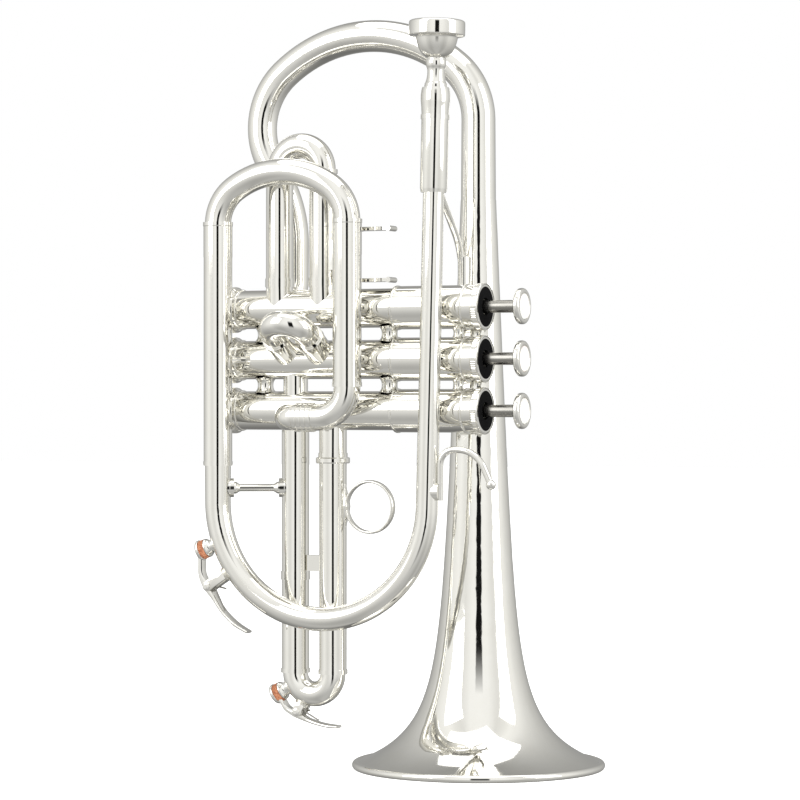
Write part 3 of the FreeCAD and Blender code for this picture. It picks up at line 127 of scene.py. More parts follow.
# %% [markdown]
# ## Felt, cork and pearl
# The felts under the finger buttons are pressed black wool: fully rough, with a fibre texture
# of about 0.3 mm. The corks of the water keys are natural bark with darker pores about 1 mm
# across. The button tops are mother-of-pearl: pale, glossy, with slow bands of pink and green
# that come from its layers.

# %% Felt, cork and pearl
def pressed_felt():
    made, tree, out = new_material("pressed_felt")
    place = add_node(tree, "ShaderNodeTexCoord")
    fibre = add_node(tree, "ShaderNodeTexNoise", {"Vector": place.outputs["Object"],
                     "Scale": 1 / (0.3 * MM), "Detail": 5.0})
    tone = add_node(tree, "ShaderNodeMix", {"Factor": fibre.outputs["Fac"]}, data_type="RGBA")
    tone.inputs[6].default_value = linear("#050506")
    tone.inputs[7].default_value = linear("#101011")
    nap = add_node(tree, "ShaderNodeBump", {"Height": fibre.outputs["Fac"], "Strength": 0.5,
                   "Distance": 0.15 * MM})
    wool = add_node(tree, "ShaderNodeBsdfPrincipled", {"Base Color": tone.outputs[2],
                    "Roughness": 0.97, "Specular IOR Level": 0.15, "Normal": nap.outputs["Normal"]})
    tree.links.new(wool.outputs["BSDF"], out.inputs["Surface"])
    return made


def natural_cork():
    made, tree, out = new_material("natural_cork")
    place = add_node(tree, "ShaderNodeTexCoord")
    grain = add_node(tree, "ShaderNodeTexNoise", {"Vector": place.outputs["Object"],
                     "Scale": 1 / (1.0 * MM), "Detail": 4.0, "Roughness": 0.65})
    tone = add_node(tree, "ShaderNodeValToRGB", {"Fac": grain.outputs["Fac"]})
    tone.color_ramp.elements[0].position = 0.32
    tone.color_ramp.elements[0].color = linear("#85482C")
    tone.color_ramp.elements[1].position = 0.62
    tone.color_ramp.elements[1].color = linear("#C68560")
    pores = add_node(tree, "ShaderNodeBump", {"Height": grain.outputs["Fac"], "Strength": 0.6,
                     "Distance": 0.25 * MM})
    bark = add_node(tree, "ShaderNodeBsdfPrincipled", {"Base Color": tone.outputs["Color"],
                    "Roughness": 0.8, "Normal": pores.outputs["Normal"]})
    tree.links.new(bark.outputs["BSDF"], out.inputs["Surface"])
    return made


def mother_of_pearl():
    made, tree, out = new_material("mother_of_pearl")
    place = add_node(tree, "ShaderNodeTexCoord")
    layers = add_node(tree, "ShaderNodeTexWave", {"Vector": place.outputs["Object"],
                      "Scale": 1 / (14 * MM), "Distortion": 6.0, "Detail": 3.0, "Detail Scale": 1.5})
    tone = add_node(tree, "ShaderNodeValToRGB", {"Fac": layers.outputs["Fac"]})
    tone.color_ramp.elements[0].color = linear("#F3F1EA")
    tone.color_ramp.elements[1].color = linear("#E6E9E4")
    middle = tone.color_ramp.elements.new(0.55)
    middle.color = linear("#F1E7E4")
    shell = add_node(tree, "ShaderNodeBsdfPrincipled", {"Base Color": tone.outputs["Color"],
                     "Roughness": 0.22, "Coat Weight": 0.6, "Coat Roughness": 0.05,
                     "Sheen Weight": 0.1})
    tree.links.new(shell.outputs["BSDF"], out.inputs["Surface"])
    return made


FELT = pressed_felt()
CORK = natural_cork()
PEARL = mother_of_pearl()


# %% [markdown]
# ## Finish the frame's own parts
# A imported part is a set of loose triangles. A Weld modifier joins their edges, smooth shading
# makes each turned surface read as round, and an Edge Split modifier keeps real edges crisp.

# %% Finish the frame's own parts
def finish_of(label):
    """the finish that each sub-part of the horn has"""
    for start, finish in (("piston", PISTON), ("valve_spring", WIRE), ("button_pearl", PEARL),
                          ("valve_stem", STEM), ("cap_felts", FELT), ("water_key_cork", CORK)):
        if label.startswith(start):
            return finish
    return SILVER


def dress(thing, finish):
    """one finish over a whole piece"""
    thing.data.materials.clear()
    thing.data.materials.append(finish)


for label, thing in parts.items():
    dress(thing, finish_of(label))
    for face in thing.data.polygons:
        face.use_smooth = True
    weld = thing.modifiers.new("weld", "WELD")
    weld.merge_threshold = 0.002 * MM
    split = thing.modifiers.new("edges", "EDGE_SPLIT")
    split.split_angle = math.radians(28)
print("finished", len(parts), "frame parts")

# %% [markdown]
# ## A lathe made from extrusions
# Round pieces are turned on a lathe. Here a circle is extruded ring by ring, each ring scaled to
# its radius, which is how a turner's profile grows along the bar. Two rings close together keep
# an edge crisp when the Subdivision Surface modifier rounds the rest.

# %% Turning helpers
SAME_SPOT = 0.0005 * MM      # points closer than this are one point
ROUNDED = 50                 # the sharpest corner, in degrees, that still shades smoothly
DOT = 0.02                   # the radius, in millimetres, that closes an end of a turned piece


def deselect():
    """nothing selected, in object mode"""
    if bpy.context.mode != "OBJECT":
        bpy.ops.object.mode_set(mode="OBJECT")
    bpy.ops.object.select_all(action="DESELECT")


def settle(thing, matrix=None):
    """put a piece's place into its mesh, so that its object sits at the origin"""
    if matrix is not None:
        thing.data.transform(matrix)
    thing.data.transform(thing.matrix_world)
    thing.matrix_world = Matrix.Identity(4)
    return thing


def apply_modifiers(thing):
    deselect()
    thing.select_set(True)
    bpy.context.view_layer.objects.active = thing
    for modifier in list(thing.modifiers):
        bpy.ops.object.modifier_apply(modifier=modifier.name)


def smooth(thing, degrees):
    deselect()
    thing.select_set(True)
    bpy.context.view_layer.objects.active = thing
    bpy.ops.object.shade_smooth_by_angle(angle=math.radians(degrees))


def turn_piece(name, rings, sides=96):
    """a turned piece: rings of (height, radius) in millimetres along Z, extruded one by one"""
    deselect()
    height, radius = rings[0]
    bpy.ops.mesh.primitive_circle_add(vertices=sides, radius=radius * MM, location=(0, 0, height * MM))
    thing = bpy.context.object
    thing.name = name
    settle(thing)
    bpy.ops.object.mode_set(mode="EDIT")
    bpy.ops.mesh.select_all(action="SELECT")
    for next_height, next_radius in rings[1:]:
        bpy.ops.mesh.extrude_region_move(
            TRANSFORM_OT_translate={"value": (0, 0, (next_height - height) * MM)})
        share = next_radius / radius
        bpy.ops.transform.resize(value=(share, share, 1), center_override=(0, 0, next_height * MM))
        height, radius = next_height, next_radius
    bpy.ops.mesh.select_all(action="SELECT")
    bpy.ops.mesh.remove_doubles(threshold=SAME_SPOT)
    bpy.ops.mesh.normals_make_consistent(inside=False)
    bpy.ops.object.mode_set(mode="OBJECT")
    round_off = thing.modifiers.new("round_off", "SUBSURF")
    round_off.levels = 1
    round_off.render_levels = 1
    apply_modifiers(thing)
    smooth(thing, ROUNDED)
    return thing


# %% [markdown]
# ## The mouthpiece
# A mouthpiece is turned from a brass bar: a flat-sided rim with a cushioned top, a bowl-shaped
# cup, a bead, a waist and a long taper that wedges in the receiver. The frame's mouthpiece has
# the right sizes but short straight facets, so this one is turned again with finer rings, on
# the same leaning axis: straight through the middle of the rim, parallel to the pull.

# %% Mouthpiece
pull = [joint for joint in frame["joints"] if joint["name"] == "mouthpiece_pull"][0]
lean = Vector(pull["axis"]).normalized()
low, high = (Vector(corner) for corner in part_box("mouthpiece"))
rim_radius = (high.y - low.y) / 2 / MM
RIM_LIFT = 0.02 * MM         # how far the turned rim is raised to meet the frame's
rim_middle = Vector((high.x - rim_radius * MM * lean.z, (high.y + low.y) / 2,
                     high.z - rim_radius * MM * lean.x + RIM_LIFT))
print("mouthpiece rim across, mm:", round(2 * rim_radius, 2))

# heights run down from the top of the rim; the profile climbs the outside and enters the cup
mouthpiece_rings = [(-55.0, 3.9), (-54.9, 4.45), (-54.5, 4.5), (-31.3, 4.75), (-31.0, 5.2), (-30.6, 5.22),
                    (-29.6, 5.2), (-28.9, 5.1), (-28.6, 4.75), (-27.0, 4.3), (-25.6, 4.05), (-24.4, 3.98),
                    (-23.2, 4.0), (-22.2, 4.1), (-21.5, 4.45), (-21.0, 4.7), (-19.6, 4.85),
                    (-18.4, 4.78), (-17.9, 4.45), (-17.5, 4.35), (-17.2, 4.5), (-16.6, 5.6),
                    (-15.4, 6.9), (-13.6, 8.0), (-11.4, 8.9), (-9.2, 9.45), (-7.9, 9.7), (-7.5, 9.9),
                    (-7.35, 12.3), (-7.2, 12.75), (-6.8, 12.92), (-6.4, 12.95), (-1.6, 12.95),
                    (-1.0, 12.9), (-0.45, 12.6), (-0.1, 11.8), (0.0, 10.9), (-0.15, 9.9), (-0.5, 9.2),
                    (-1.1, 8.75), (-2.2, 8.35), (-4.5, 8.1), (-7.0, 7.6), (-9.4, 6.6), (-11.4, 5.2),
                    (-13.0, 3.7), (-14.4, 2.5), (-16.0, 2.05), (-24.0, 2.0), (-54.6, 3.3), (-54.95, 3.6),
                    (-55.0, 3.9)]
mouthpiece = turn_piece("turned_mouthpiece", mouthpiece_rings, sides=80)
upright = Vector((0, 0, 1)).rotation_difference(lean).to_matrix().to_4x4()
settle(mouthpiece, Matrix.Translation(rim_middle) @ upright)
dress(mouthpiece, SILVER)
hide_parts("mouthpiece")
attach(mouthpiece, "mouthpiece")

# %% [markdown]
# ## Knurled bands
# The caps are gripped by fingertips, so a maker rolls a band of fine teeth round each one.
# The teeth here are 1 mm apart, a little coarser than real so that they still show. Every
# second edge of a many-sided band is pulled in, and the band is given a thickness.

# %% Knurled bands
TOOTH_PITCH, TOOTH_DEPTH, BAND_WALL = 1.0, 0.28, 0.35
TOP_BAND = {"radius": 10.85, "width": 2.4, "inset": 1.9}
FOOT_BAND = {"radius": 10.95, "width": 5.4, "inset": 4.2}


def knurled_band(name, middle, radius, width):
    """a band of teeth round a line along X, on the fixed body"""
    teeth = int(math.tau * radius / TOOTH_PITCH)
    deselect()
    bpy.ops.mesh.primitive_cylinder_add(vertices=2 * teeth, radius=radius * MM, depth=width * MM,
                                        end_fill_type="NOTHING")
    band = bpy.context.object
    band.name = name
    bpy.ops.object.mode_set(mode="EDIT")
    bpy.ops.mesh.select_mode(type="VERT")
    bpy.ops.mesh.select_all(action="DESELECT")
    bpy.ops.object.mode_set(mode="OBJECT")
    for vertex in band.data.vertices:
        step = round(math.atan2(vertex.co.y, vertex.co.x) / (math.pi / teeth))
        vertex.select = step % 2 == 0
    bpy.ops.object.mode_set(mode="EDIT")
    share = 1 - TOOTH_DEPTH / radius
    bpy.ops.transform.resize(value=(share, share, 1))
    bpy.ops.object.mode_set(mode="OBJECT")
    wall = band.modifiers.new("wall", "SOLIDIFY")
    wall.thickness = BAND_WALL * MM
    wall.offset = -1
    apply_modifiers(band)
    band.rotation_euler = (0, math.radians(90), 0)
    band.location = middle
    bpy.context.view_layer.update()
    settle(band)
    smooth(band, 20)
    dress(band, SILVER)
    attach(band, "root")


valve_levels = []
for number in (1, 2, 3):
    low, high = (Vector(corner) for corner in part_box("finger_button_%d" % number))
    valve_levels.append((low + high) / 2)
cap_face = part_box("top_caps")[1][0]
foot_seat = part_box("bottom_caps")[1][0]
for number, button in enumerate(valve_levels, start=1):
    for mark, edge, sizes in (("top_cap_knurl", cap_face, TOP_BAND),
                              ("bottom_cap_knurl", foot_seat, FOOT_BAND)):
        middle = Vector((edge - sizes["inset"] * MM, button.y, button.z))
        knurled_band("%s_%d" % (mark, number), middle, sizes["radius"], sizes["width"])

# %% [markdown]
# ## Finger buttons
# Each button is a shallow turned dish, rounded over at its edge, that holds a pearl. The
# three are alike, so one loop turns each dish and each pearl from the same two profiles.

# %% Finger buttons
low, high = (Vector(corner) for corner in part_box("finger_button_1"))
thick = (high.x - low.x) / MM
across_button = (high.y - low.y) / 2 / MM
pearl_low, pearl_high = (Vector(corner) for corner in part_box("button_pearl_1"))
across_pearl = (pearl_high.y - pearl_low.y) / 2 / MM
pearl_deep = (pearl_high.x - pearl_low.x) / MM
button_rings = [(0, DOT), (0, 2.6), (0, across_button - 1.4), (0.15, across_button - 0.7),
                (0.6, across_button - 0.15), (1.2, across_button), (thick - 1.1, across_button),
                (thick - 0.5, across_button - 0.2), (thick - 0.1, across_button - 0.8),
                (thick, across_button - 1.4), (thick - 0.05, across_pearl + 0.3),
                (thick - 0.2, across_pearl + 0.04), (thick - pearl_deep, across_pearl + 0.03),
                (thick - pearl_deep, DOT)]
pearl_rings = [(thick - pearl_deep, DOT), (thick - pearl_deep, across_pearl - 0.05),
               (thick - 0.35, across_pearl), (thick - 0.12, across_pearl - 0.25),
               (thick - 0.05, across_pearl - 0.9), (thick - 0.25, 2.5), (thick - 0.3, DOT)]
for number, button in enumerate(valve_levels, start=1):
    for label, rings, finish in (("finger_button", button_rings, SILVER),
                                 ("button_pearl", pearl_rings, PEARL)):
        turned = turn_piece("turned_%s_%d" % (label, number), rings, sides=64)
        lay = Matrix.Rotation(math.radians(90), 4, "Y")
        settle(turned, Matrix.Translation(Vector((low.x, button.y, button.z))) @ lay)
        dress(turned, finish)
        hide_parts("%s_%d" % (label, number))
        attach(turned, "valve_%d" % number)

# %% [markdown]
# ## Water keys
# A water key is a small cast lever on a pin. One end is a cup with a cork that closes the
# drain, the other a curved thumb piece, and a wire spring is wound round the barrel. The
# lever is a strip drawn along a smooth curve: wide and thin like a leaf at the thumb end,
# narrow and deep where it passes round the cork. The saddle is a round post with two
# rounded cheeks, and the drain stands in a cone as wide as the cork.

# %% Water key helpers
SPRING_WIRE, COIL_RADIUS, COIL_LENGTH = 0.8, 2.75, 3.0
CHEEK_OFFSET, CHEEK_THICK, CHEEK_RADIUS = 3.5, 1.4, 2.3
PIN_HEAD_OFFSET = 4.2


def wire(name, spots, radius):
    """a round wire along a smooth NURBS path, as a mesh"""
    deselect()
    bpy.ops.curve.primitive_nurbs_path_add()
    path = bpy.context.object
    path.name = name
    path.data.splines.clear()
    spline = path.data.splines.new("NURBS")
    spline.points.add(len(spots) - 1)
    for point, spot in zip(spline.points, spots):
        point.co = (spot.x, spot.y, spot.z, 1)
    spline.order_u = 3
    spline.use_endpoint_u = True
    spline.resolution_u = 6
    path.data.dimensions = "3D"
    path.data.bevel_depth = radius
    path.data.bevel_resolution = 2
    path.data.use_fill_caps = True
    bpy.ops.object.convert(target="MESH")
    return settle(bpy.context.object)


def joined(name, things):
    """several meshes as one piece"""
    deselect()
    for thing in things:
        thing.select_set(True)
    bpy.context.view_layer.objects.active = things[0]
    bpy.ops.object.join()
    things[0].name = name
    return things[0]


def facing(direction):
    """the turn that lays Z along a direction"""
    return Vector((0, 0, 1)).rotation_difference(direction).to_matrix().to_4x4()


def strip(name, spots, half_widths, half_depths):
    """a cast strip in the XZ plane: a ring of points round each spot of its curve"""
    steps = 12
    count = len(spots) - 1
    verts, faces = [], []
    stations = count * 6
    for station in range(stations + 1):
        along = station / 6
        index = min(int(along), count - 1)
        share = along - index
        before, start, end, after = (spots[max(0, min(count, index + k))] for k in (-1, 0, 1, 2))
        spot = 0.5 * ((2 * start) + (end - before) * share
                      + (2 * before - 5 * start + 4 * end - after) * share ** 2
                      + (3 * start - before - 3 * end + after) * share ** 3)
        way = (end - before) * (1 - share) + (after - start) * share
        normal = Vector((-way.z, 0, way.x)).normalized()
        wide = half_widths[index] * (1 - share) + half_widths[index + 1] * share
        deep = half_depths[index] * (1 - share) + half_depths[index + 1] * share
        for step in range(steps):
            angle = math.tau * (step + 0.5) / steps
            bulge = (abs(math.cos(angle)) ** 4 + abs(math.sin(angle)) ** 4) ** -0.25
            verts.append(spot + Vector((0, wide * MM * bulge * math.cos(angle), 0))
                         + normal * deep * MM * bulge * math.sin(angle))
    for station in range(stations):
        for step in range(steps):
            a, b = station * steps + step, station * steps + (step + 1) % steps
            faces.append((a, b, b + steps, a + steps))
    faces.append(tuple(range(steps)))
    faces.append(tuple(range(stations * steps, (stations + 1) * steps)))
    mesh = bpy.data.meshes.new(name)
    mesh.from_pydata(verts, [], faces)
    made = bpy.data.objects.new(name, mesh)
    bpy.context.scene.collection.objects.link(made)
    deselect()
    made.select_set(True)
    bpy.context.view_layer.objects.active = made
    bpy.ops.object.mode_set(mode="EDIT")
    bpy.ops.mesh.select_all(action="SELECT")
    bpy.ops.mesh.normals_make_consistent(inside=False)
    bpy.ops.object.mode_set(mode="OBJECT")
    return made


def cheek(name, pin, foot, middle, thick, radius):
    """a plate with a round head at the pin and a straight foot at the tube"""
    away = (foot - pin)
    side = Vector((-away.z, 0, away.x)).normalized()
    along = away.normalized()
    outline = [foot - side * radius * 1.1, foot + side * radius * 1.1]
    for step in range(13):
        angle = math.pi * step / 12
        outline.append(pin + side * radius * math.cos(angle) - along * radius * math.sin(angle))
    mesh = bpy.data.meshes.new(name)
    verts = [Vector((spot.x, middle + half * thick / 2, spot.z)) for half in (-1, 1) for spot in outline]
    count = len(outline)
    faces = [tuple(range(count)), tuple(range(2 * count - 1, count - 1, -1))]
    faces += [(i, count + i, count + (i + 1) % count, (i + 1) % count) for i in range(count)]
    mesh.from_pydata(verts, [], faces)
    made = bpy.data.objects.new(name, mesh)
    bpy.context.scene.collection.objects.link(made)
    soften = made.modifiers.new("soften", "BEVEL")
    soften.width = 0.25 * MM
    soften.segments = 2
    soften.limit_method = "ANGLE"
    apply_modifiers(made)
    return made


def water_key(mark, body, seat_body, shape):
    """the shaped saddle, lever and spring, on the pin that the frame gives"""
    hinge = [joint for joint in frame["joints"] if joint["child"] == body][0]
    pin = Vector(hinge["pos_m"])
    centre = Vector(shape["centre"])
    cork_low, cork_high = (Vector(corner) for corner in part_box("water_key_cork_" + mark))
    cork = (cork_low + cork_high) / 2
    out = (cork - centre).normalized()
    # the cone round the drain, as wide as the cork
    seat = cork - out * 1.8 * MM
    nipple = turn_piece("nipple", [(-4.8, 3.9), (-3.2, 3.1), (-2.0, 3.2), (-1.0, 4.2), (-0.6, 4.5), (0, 4.55),
                                   (0.02, 4.2), (0.02, 1.5), (-4.6, 1.5), (-4.8, 3.9)], sides=48)
    settle(nipple, Matrix.Translation(seat) @ facing(out))
    # the post and its two cheeks
    toward = (pin - centre).normalized()
    surface = centre + toward * shape["surface"] * MM
    reach = (pin - surface).length / MM
    top = max(reach - 2.6, 1.8)
    post = turn_piece("post", [(-1.2, DOT), (-1.2, 3.9), (0.2, 3.6), (0.9, 3.1), (top - 0.6, 3.0),
                               (top, 2.7), (top, DOT)], sides=40)
    settle(post, Matrix.Translation(surface) @ facing(toward))
    cheeks = [cheek("cheek", pin, surface - toward * 0.3 * MM, pin.y + hand * CHEEK_OFFSET * MM,
                    CHEEK_THICK * MM, CHEEK_RADIUS * MM) for hand in (-1, 1)]
    saddle = joined("shaped_saddle_" + mark, [nipple, post, *cheeks])
    smooth(saddle, 40)
    dress(saddle, SILVER)
    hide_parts("water_key_saddle_" + mark)
    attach(saddle, seat_body)
    # the cup behind the cork, then the strip round to the barrel and out to the thumb
    cup = turn_piece("cup", [(-0.6, 4.6), (-0.6, 5.0), (0.2, 5.05), (0.9, 4.8), (1.5, 3.9), (1.8, 2.4),
                             (1.85, DOT)], sides=48)
    settle(cup, Matrix.Translation(cork + out * 1.72 * MM) @ facing(out))
    spots = [cork + out * 3.1 * MM] + [pin + Vector(spot) * MM for spot in shape["curve"]]
    arm = strip("arm", spots, shape["half_widths"], shape["half_depths"])
    barrel = turn_piece("barrel", [(-2.6, DOT), (-2.6, 2.1), (-2.3, 2.4), (2.3, 2.4), (2.6, 2.1),
                                   (2.6, DOT)], sides=40)
    settle(barrel, Matrix.Translation(pin) @ facing(Vector((0, 1, 0))))
    lever = joined("shaped_lever_" + mark, [cup, arm, barrel])
    smooth(lever, 50)
    dress(lever, SILVER)
    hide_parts("water_key_lever_" + mark)
    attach(lever, body)
    # the pin's round screw head
    head_rings = [(0, DOT), (0, 1.9), (0.5, 1.9), (0.9, 1.6), (1.0, DOT)]
    head = turn_piece("pin_head_" + mark, head_rings, sides=32)
    settle(head, Matrix.Translation(pin - Vector((0, PIN_HEAD_OFFSET * MM, 0))) @ facing(Vector((0, -1, 0))))
    dress(head, SILVER)
    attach(head, seat_body)
    # the spring: turns round the barrel, one leg under the thumb piece, a short one toward the tube
    turns, steps = 4, 14
    coil = [pin + Vector(shape["thumb_leg"]) * MM]
    for step in range(turns * steps + 1):
        turn_angle = math.tau * step / steps
        across_coil = COIL_LENGTH * (step / (turns * steps) - 0.5)
        coil.append(pin + Vector((COIL_RADIUS * math.cos(turn_angle), across_coil,
                                  COIL_RADIUS * math.sin(turn_angle))) * MM)
    coil.append(pin + Vector(shape["rest_leg"]) * MM)
    spring = wire("coil_spring_" + mark, coil, SPRING_WIRE / 2 * MM)
    smooth(spring, 60)
    dress(spring, STEM)
    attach(spring, body)


# %% Water keys
water_key("bow", "water_key_main", "root",
          {"centre": (-0.06105, -0.044, 0.125), "surface": 60.25,
           "curve": [(-4.6, 0, 13.0), (-4.4, 0, 6.0), (-1.8, 0, 0.2), (2.4, 0, -5.6), (7.4, 0, -12.2),
                     (13.6, 0, -17.6), (20.4, 0, -21.2)],
           "half_widths": [2.6, 2.7, 2.6, 2.6, 2.4, 2.8, 3.2, 2.9],
           "half_depths": [1.2, 1.2, 1.3, 1.8, 1.0, 0.8, 0.8, 0.7],
           "thumb_leg": (8.5, -1.5, -11.4), "rest_leg": (7.5, 1.5, -1.2)})
water_key("third", "water_key_third", "third_slide",
          {"centre": (-0.07325, -0.026, 0.044), "surface": 15.8,
           "curve": [(-9.2, 0, 4.6), (-6.6, 0, 1.2), (-1.6, 0, -1.4), (4.4, 0, -4.0), (10.4, 0, -5.6),
                     (15.6, 0, -6.4), (20.5, 0, -6.6)],
           "half_widths": [2.6, 2.7, 2.6, 2.6, 2.4, 2.8, 3.2, 2.9],
           "half_depths": [1.2, 1.2, 1.3, 1.8, 1.0, 0.8, 0.8, 0.7],
           "thumb_leg": (10.5, -1.5, -3.8), "rest_leg": (4.6, 1.5, 0.4)})

# %% [markdown]
# ## The finger ring
# The ring for the third finger is bent from half-round wire and silver-soldered to a slim foot
# that follows the tube. The ring is turned with a rounded inside, and the foot is a strip that
# thins toward both ends.

# %% Finger ring
low, high = (Vector(corner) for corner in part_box("finger_ring"))
ring_across = 12.7
ring_middle = Vector((high.x - ring_across * MM, (low.y + high.y) / 2, (low.z + high.z) / 2))
ring_rings = [(-2.0, 11.5), (-1.4, 11.25), (0, 11.15), (1.4, 11.25), (2.0, 11.5), (2.0, 12.2), (1.4, 12.6),
              (0, 12.7), (-1.4, 12.6), (-2.0, 12.2), (-2.0, 11.5)]
band = turn_piece("band", ring_rings, sides=96)
settle(band, Matrix.Translation(ring_middle) @ facing(Vector((0, 1, 0))))
tube_side = ring_middle.x - (ring_across + 0.1) * MM
foot_curve = ((-0.1, -10.5), (0.1, -7), (0.5, -3.5), (0.7, 0), (0.5, 3.5), (0.1, 7), (-0.1, 10.5))
foot_spots = [Vector((tube_side + out * MM, ring_middle.y, ring_middle.z + rise * MM))
              for out, rise in foot_curve]
foot = strip("foot", foot_spots, [0.8, 1.6, 2.4, 2.8, 2.4, 1.6, 0.8], [0.4, 0.6, 0.9, 1.1, 0.9, 0.6, 0.4])
finger_ring = joined("soldered_finger_ring", [band, foot])
smooth(finger_ring, 50)
dress(finger_ring, SILVER)
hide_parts("finger_ring")
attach(finger_ring, "third_slide")

# %% [markdown]
# ## Ridges, rosettes and spools
# Where a tube ends, a maker leaves a small raised ring that stiffens the edge, and every brace
# stands on a rosette: a round foot with a bead on it. The posts between the casings widen to a
# spool at each end, which spreads the solder. Each of these is turned and set in its place.

# %% Small turned details
def place_turned(name, rings, middle, direction, sides=64):
    """one turned detail of the fixed body, centred on a point, its axis along a direction"""
    thing = turn_piece(name, rings, sides=sides)
    settle(thing, Matrix.Translation(middle) @ facing(direction))
    dress(thing, SILVER)
    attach(thing, "root")


def bead(radius, width, stand):
    """a rounded ring round a tube, open at the tube's surface"""
    half = width / 2
    return [(-half, radius - 0.1), (-half, radius + 0.5 * stand), (-0.6 * half, radius + 0.92 * stand),
            (0, radius + stand), (0.6 * half, radius + 0.92 * stand), (half, radius + 0.5 * stand),
            (half, radius - 0.1)]


ACROSS_VALVES = Vector((1, 0, 0))
UPRIGHT = Vector((0, 0, 1))
# each bead: its name, its place along the valve, the radius that it sits on, and how far it stands
VALVE_BEADS = (("cap_shoulder", 5.8, 10.1, 0.75), ("cap_rim", 14.2, 10.5, 0.55),
               ("ledge_ring", -29.6, 10.1, 0.35), ("casing_ring", -111.2, 9.15, 0.6))
SPOOL = [(-3.3, 5.2), (-2.6, 4.4), (-1.6, 3.8), (0, 3.62), (1.6, 3.8), (2.6, 4.4), (3.3, 5.2)]
SMALL_SPOOL = [(-2.4, 3.2), (-1.8, 2.6), (0, 2.1), (1.8, 2.6), (2.4, 3.2)]
# each post between two valves: its name, its place along the valves, and its profile
POSTS = (("post_spool_%d_34", -34, SPOOL), ("post_spool_%d_99", -99, SPOOL),
         ("small_spool_%d", 1, SMALL_SPOOL))

for number, button in enumerate(valve_levels, start=1):
    for mark, spot, radius, stand in VALVE_BEADS:
        place_turned("%s_%d" % (mark, number), bead(radius, 1.3, stand),
                     Vector((spot * MM, button.y, button.z)), ACROSS_VALVES)
for lower in (1, 2):
    gap_middle = (valve_levels[lower - 1].z + valve_levels[lower].z) / 2
    for mark, spot, rings in POSTS:
        place_turned(mark % lower, rings, Vector((spot * MM, valve_levels[0].y, gap_middle)), UPRIGHT)

# %% [markdown]
# The brace across the bow has a rosette at each end. The brace runs from the bow's wide side to
# the long slide, so the rosettes face each other along that line.

# %% Rosettes on the bow brace
ROSETTE = [(-1.2, 4.6), (-0.2, 4.3), (0.4, 3.4), (0.8, 2.7), (1.6, 2.9), (2.4, 2.7), (3.0, 2.1),
           (3.6, 1.9), (3.8, 1.7)]
bow_axis = Vector((-115.1, -44, 131.5)) * MM
leg_axis = Vector((-83.1, -26, 131.5)) * MM
tube_surface = 6.6 * MM
brace_way = (leg_axis - bow_axis).normalized()
place_turned("brace_rosette_leg", ROSETTE, leg_axis - brace_way * tube_surface, -brace_way, sides=48)
place_turned("brace_rosette_bow", ROSETTE, bow_axis + brace_way * tube_surface, brace_way, sides=48)

# %% [markdown]
# ## The studio
# Polished silver shows nothing but its surroundings, so the light is built as surroundings: a
# white tent all round, a narrow dark gap on the side where the camera first stands, and greyer
# cloth behind the horn, which draws a soft line along each tube's edge. The tent shows only in
# the silver: the camera itself sees plain white, and the gap stays put in other views. The
# Standard view transform keeps that white and the pale silver from being dulled.

# %% Camera
CAMERA_DISTANCE = 1.434
turn = math.radians(24.5)
toward = Vector((math.sin(turn), -math.cos(turn), 0))
across = Vector((math.cos(turn), math.sin(turn), 0))
aim = across * (-36.9 * MM) + Vector((0, 0, 173 * MM))
camera_data = bpy.data.cameras.new("camera")
camera_data.lens = 137.2
camera_data.sensor_width = 36
camera_data.clip_end = 50
camera = bpy.data.objects.new("camera", camera_data)
camera.location = aim + toward * CAMERA_DISTANCE
camera.rotation_euler = (math.radians(90), 0, turn)
bpy.context.scene.collection.objects.link(camera)
bpy.context.scene.camera = camera

# %% Floor
bpy.ops.object.select_all(action="DESELECT")
bpy.ops.mesh.primitive_plane_add(size=12)
floor = bpy.context.object
floor.name = "floor"
floor_finish, tree, out = new_material("white_paper")
place = add_node(tree, "ShaderNodeTexCoord")
tooth = add_node(tree, "ShaderNodeTexNoise", {"Vector": place.outputs["Object"], "Scale": 300.0})
paper_tone = add_node(tree, "ShaderNodeMix", {"Factor": tooth.outputs["Fac"]}, data_type="RGBA")
paper_tone.inputs[6].default_value = linear("#FAFAFA")
paper_tone.inputs[7].default_value = linear("#F6F6F6")
paper = add_node(tree, "ShaderNodeBsdfPrincipled", {"Base Color": paper_tone.outputs[2],
                 "Roughness": 0.9, "Specular IOR Level": 0.1,
                 "Emission Color": (1, 1, 1, 1), "Emission Strength": 0.6})
tree.links.new(paper.outputs["BSDF"], out.inputs["Surface"])
dress(floor, floor_finish)
floor.visible_glossy = False

# %% White tent
world = bpy.data.worlds.new("tent")
bpy.context.scene.world = world
world.use_nodes = True
tree = world.node_tree
tree.nodes.clear()
place = add_node(tree, "ShaderNodeTexCoord")
flat = add_node(tree, "ShaderNodeVectorMath", {0: place.outputs["Generated"], 1: (1, 1, 0)},
                operation="MULTIPLY")
level = add_node(tree, "ShaderNodeVectorMath", {0: flat.outputs[0]}, operation="NORMALIZE")
lens_side = add_node(tree, "ShaderNodeVectorMath", {0: level.outputs[0], 1: toward},
                     operation="DOT_PRODUCT")
angle = add_node(tree, "ShaderNodeMath", {0: lens_side.outputs["Value"]}, operation="ARCCOSINE")
share = add_node(tree, "ShaderNodeMath", {0: angle.outputs[0], 1: math.pi}, operation="DIVIDE")
cloth = add_node(tree, "ShaderNodeValToRGB", {"Fac": share.outputs[0]})
ramp = cloth.color_ramp
ramp.elements[0].position = 0.0
ramp.elements[0].color = (1.0, 1.0, 0.985, 1)
ramp.elements[1].position = 0.12
ramp.elements[1].color = (0.98, 0.98, 0.965, 1)
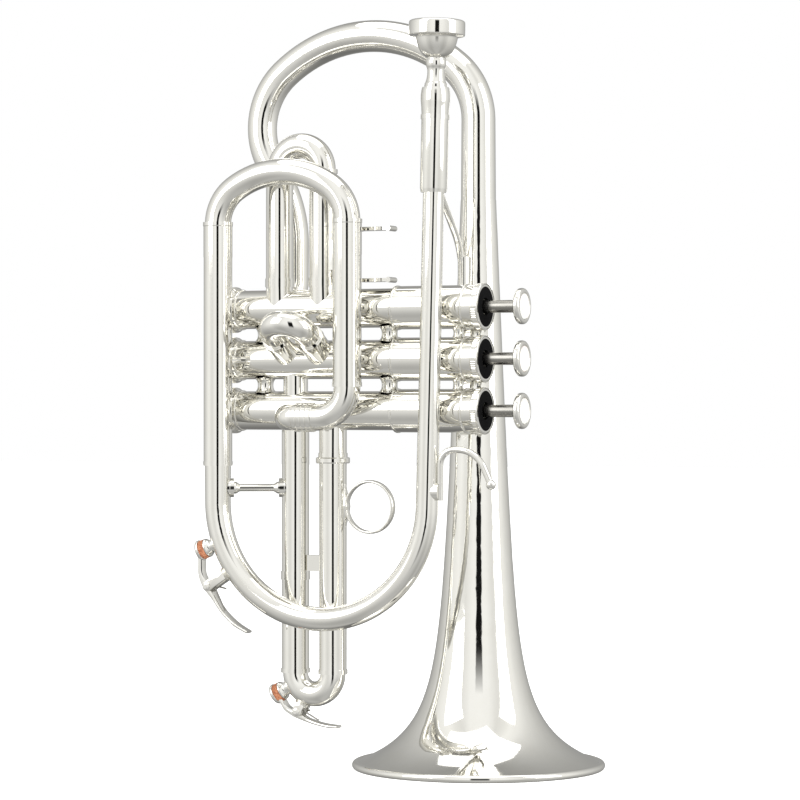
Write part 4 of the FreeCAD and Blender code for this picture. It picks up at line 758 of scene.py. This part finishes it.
for spot, grey in ((0.24, 0.82), (0.32, 0.88), (0.40, 1.0), (0.50, 0.92), (0.60, 0.76),
                   (0.72, 0.60), (0.84, 0.46), (0.94, 0.34), (1.0, 0.36)):
    stop = ramp.elements.new(spot)
    stop.color = (grey, grey * 0.998, grey * 0.975, 1)
# the cloth is greyer toward the floor, which shades the underside of every tube
height = add_node(tree, "ShaderNodeSeparateXYZ", {0: place.outputs["Generated"]})
fade = add_node(tree, "ShaderNodeMapRange", {"Value": height.outputs["Z"], "From Min": -0.75,
                "From Max": 0.15, "To Min": 0.50, "To Max": 1.0}, interpolation_type="SMOOTHSTEP")
shaded = add_node(tree, "ShaderNodeVectorMath", {0: cloth.outputs["Color"], 1: fade.outputs["Result"]},
                  operation="MULTIPLY")
# the gap that the lens looks through: a narrow upright slot, dark inside
slot_side = add_node(tree, "ShaderNodeMapRange", {"Value": share.outputs[0], "From Min": 0.042,
                     "From Max": 0.052, "To Min": 1.0, "To Max": 0.0})
off_level = add_node(tree, "ShaderNodeMath", {0: height.outputs["Z"]}, operation="ABSOLUTE")
slot_end = add_node(tree, "ShaderNodeMapRange", {"Value": off_level.outputs[0], "From Min": 0.22,
                    "From Max": 0.50, "To Min": 1.0, "To Max": 0.0})
gap = add_node(tree, "ShaderNodeMath", {0: slot_side.outputs["Result"], 1: slot_end.outputs["Result"]},
               operation="MULTIPLY")
tent = add_node(tree, "ShaderNodeMix", {"Factor": gap.outputs[0]}, data_type="RGBA")
tree.links.new(shaded.outputs[0], tent.inputs[6])
tent.inputs[7].default_value = (0.008, 0.008, 0.008, 1)
seen = add_node(tree, "ShaderNodeLightPath")
view_mix = add_node(tree, "ShaderNodeMix", {"Factor": seen.outputs["Is Camera Ray"]}, data_type="RGBA")
tree.links.new(tent.outputs[2], view_mix.inputs[6])
view_mix.inputs[7].default_value = (1.0, 1.0, 1.0, 1)
glow = add_node(tree, "ShaderNodeBackground", {"Color": view_mix.outputs[2], "Strength": 1.0})
sky = add_node(tree, "ShaderNodeOutputWorld")
tree.links.new(glow.outputs[0], sky.inputs["Surface"])


# %% Soft boxes
def soft_box(name, place, width, height, power):
    """a square of soft light that faces the middle of the horn"""
    light = bpy.data.lights.new(name, "AREA")
    light.shape = "RECTANGLE"
    light.size = width
    light.size_y = height
    light.energy = power
    lamp = bpy.data.objects.new(name, light)
    lamp.location = place
    lamp.rotation_euler = (aim - Vector(place)).to_track_quat("-Z", "Y").to_euler()
    bpy.context.scene.collection.objects.link(lamp)


soft_box("soft_box_left", tuple(aim - across * 1.6 + toward * 1.0 + Vector((0, 0, 0.9))), 1.2, 1.6, 14)
soft_box("soft_box_right", tuple(aim + across * 1.7 + toward * 0.8 + Vector((0, 0, 0.7))), 1.0, 1.6, 10)
soft_box("soft_box_top", tuple(aim + Vector((0, 0, 1.8))), 1.8, 1.8, 12)
bpy.context.scene.view_settings.view_transform = "Standard"
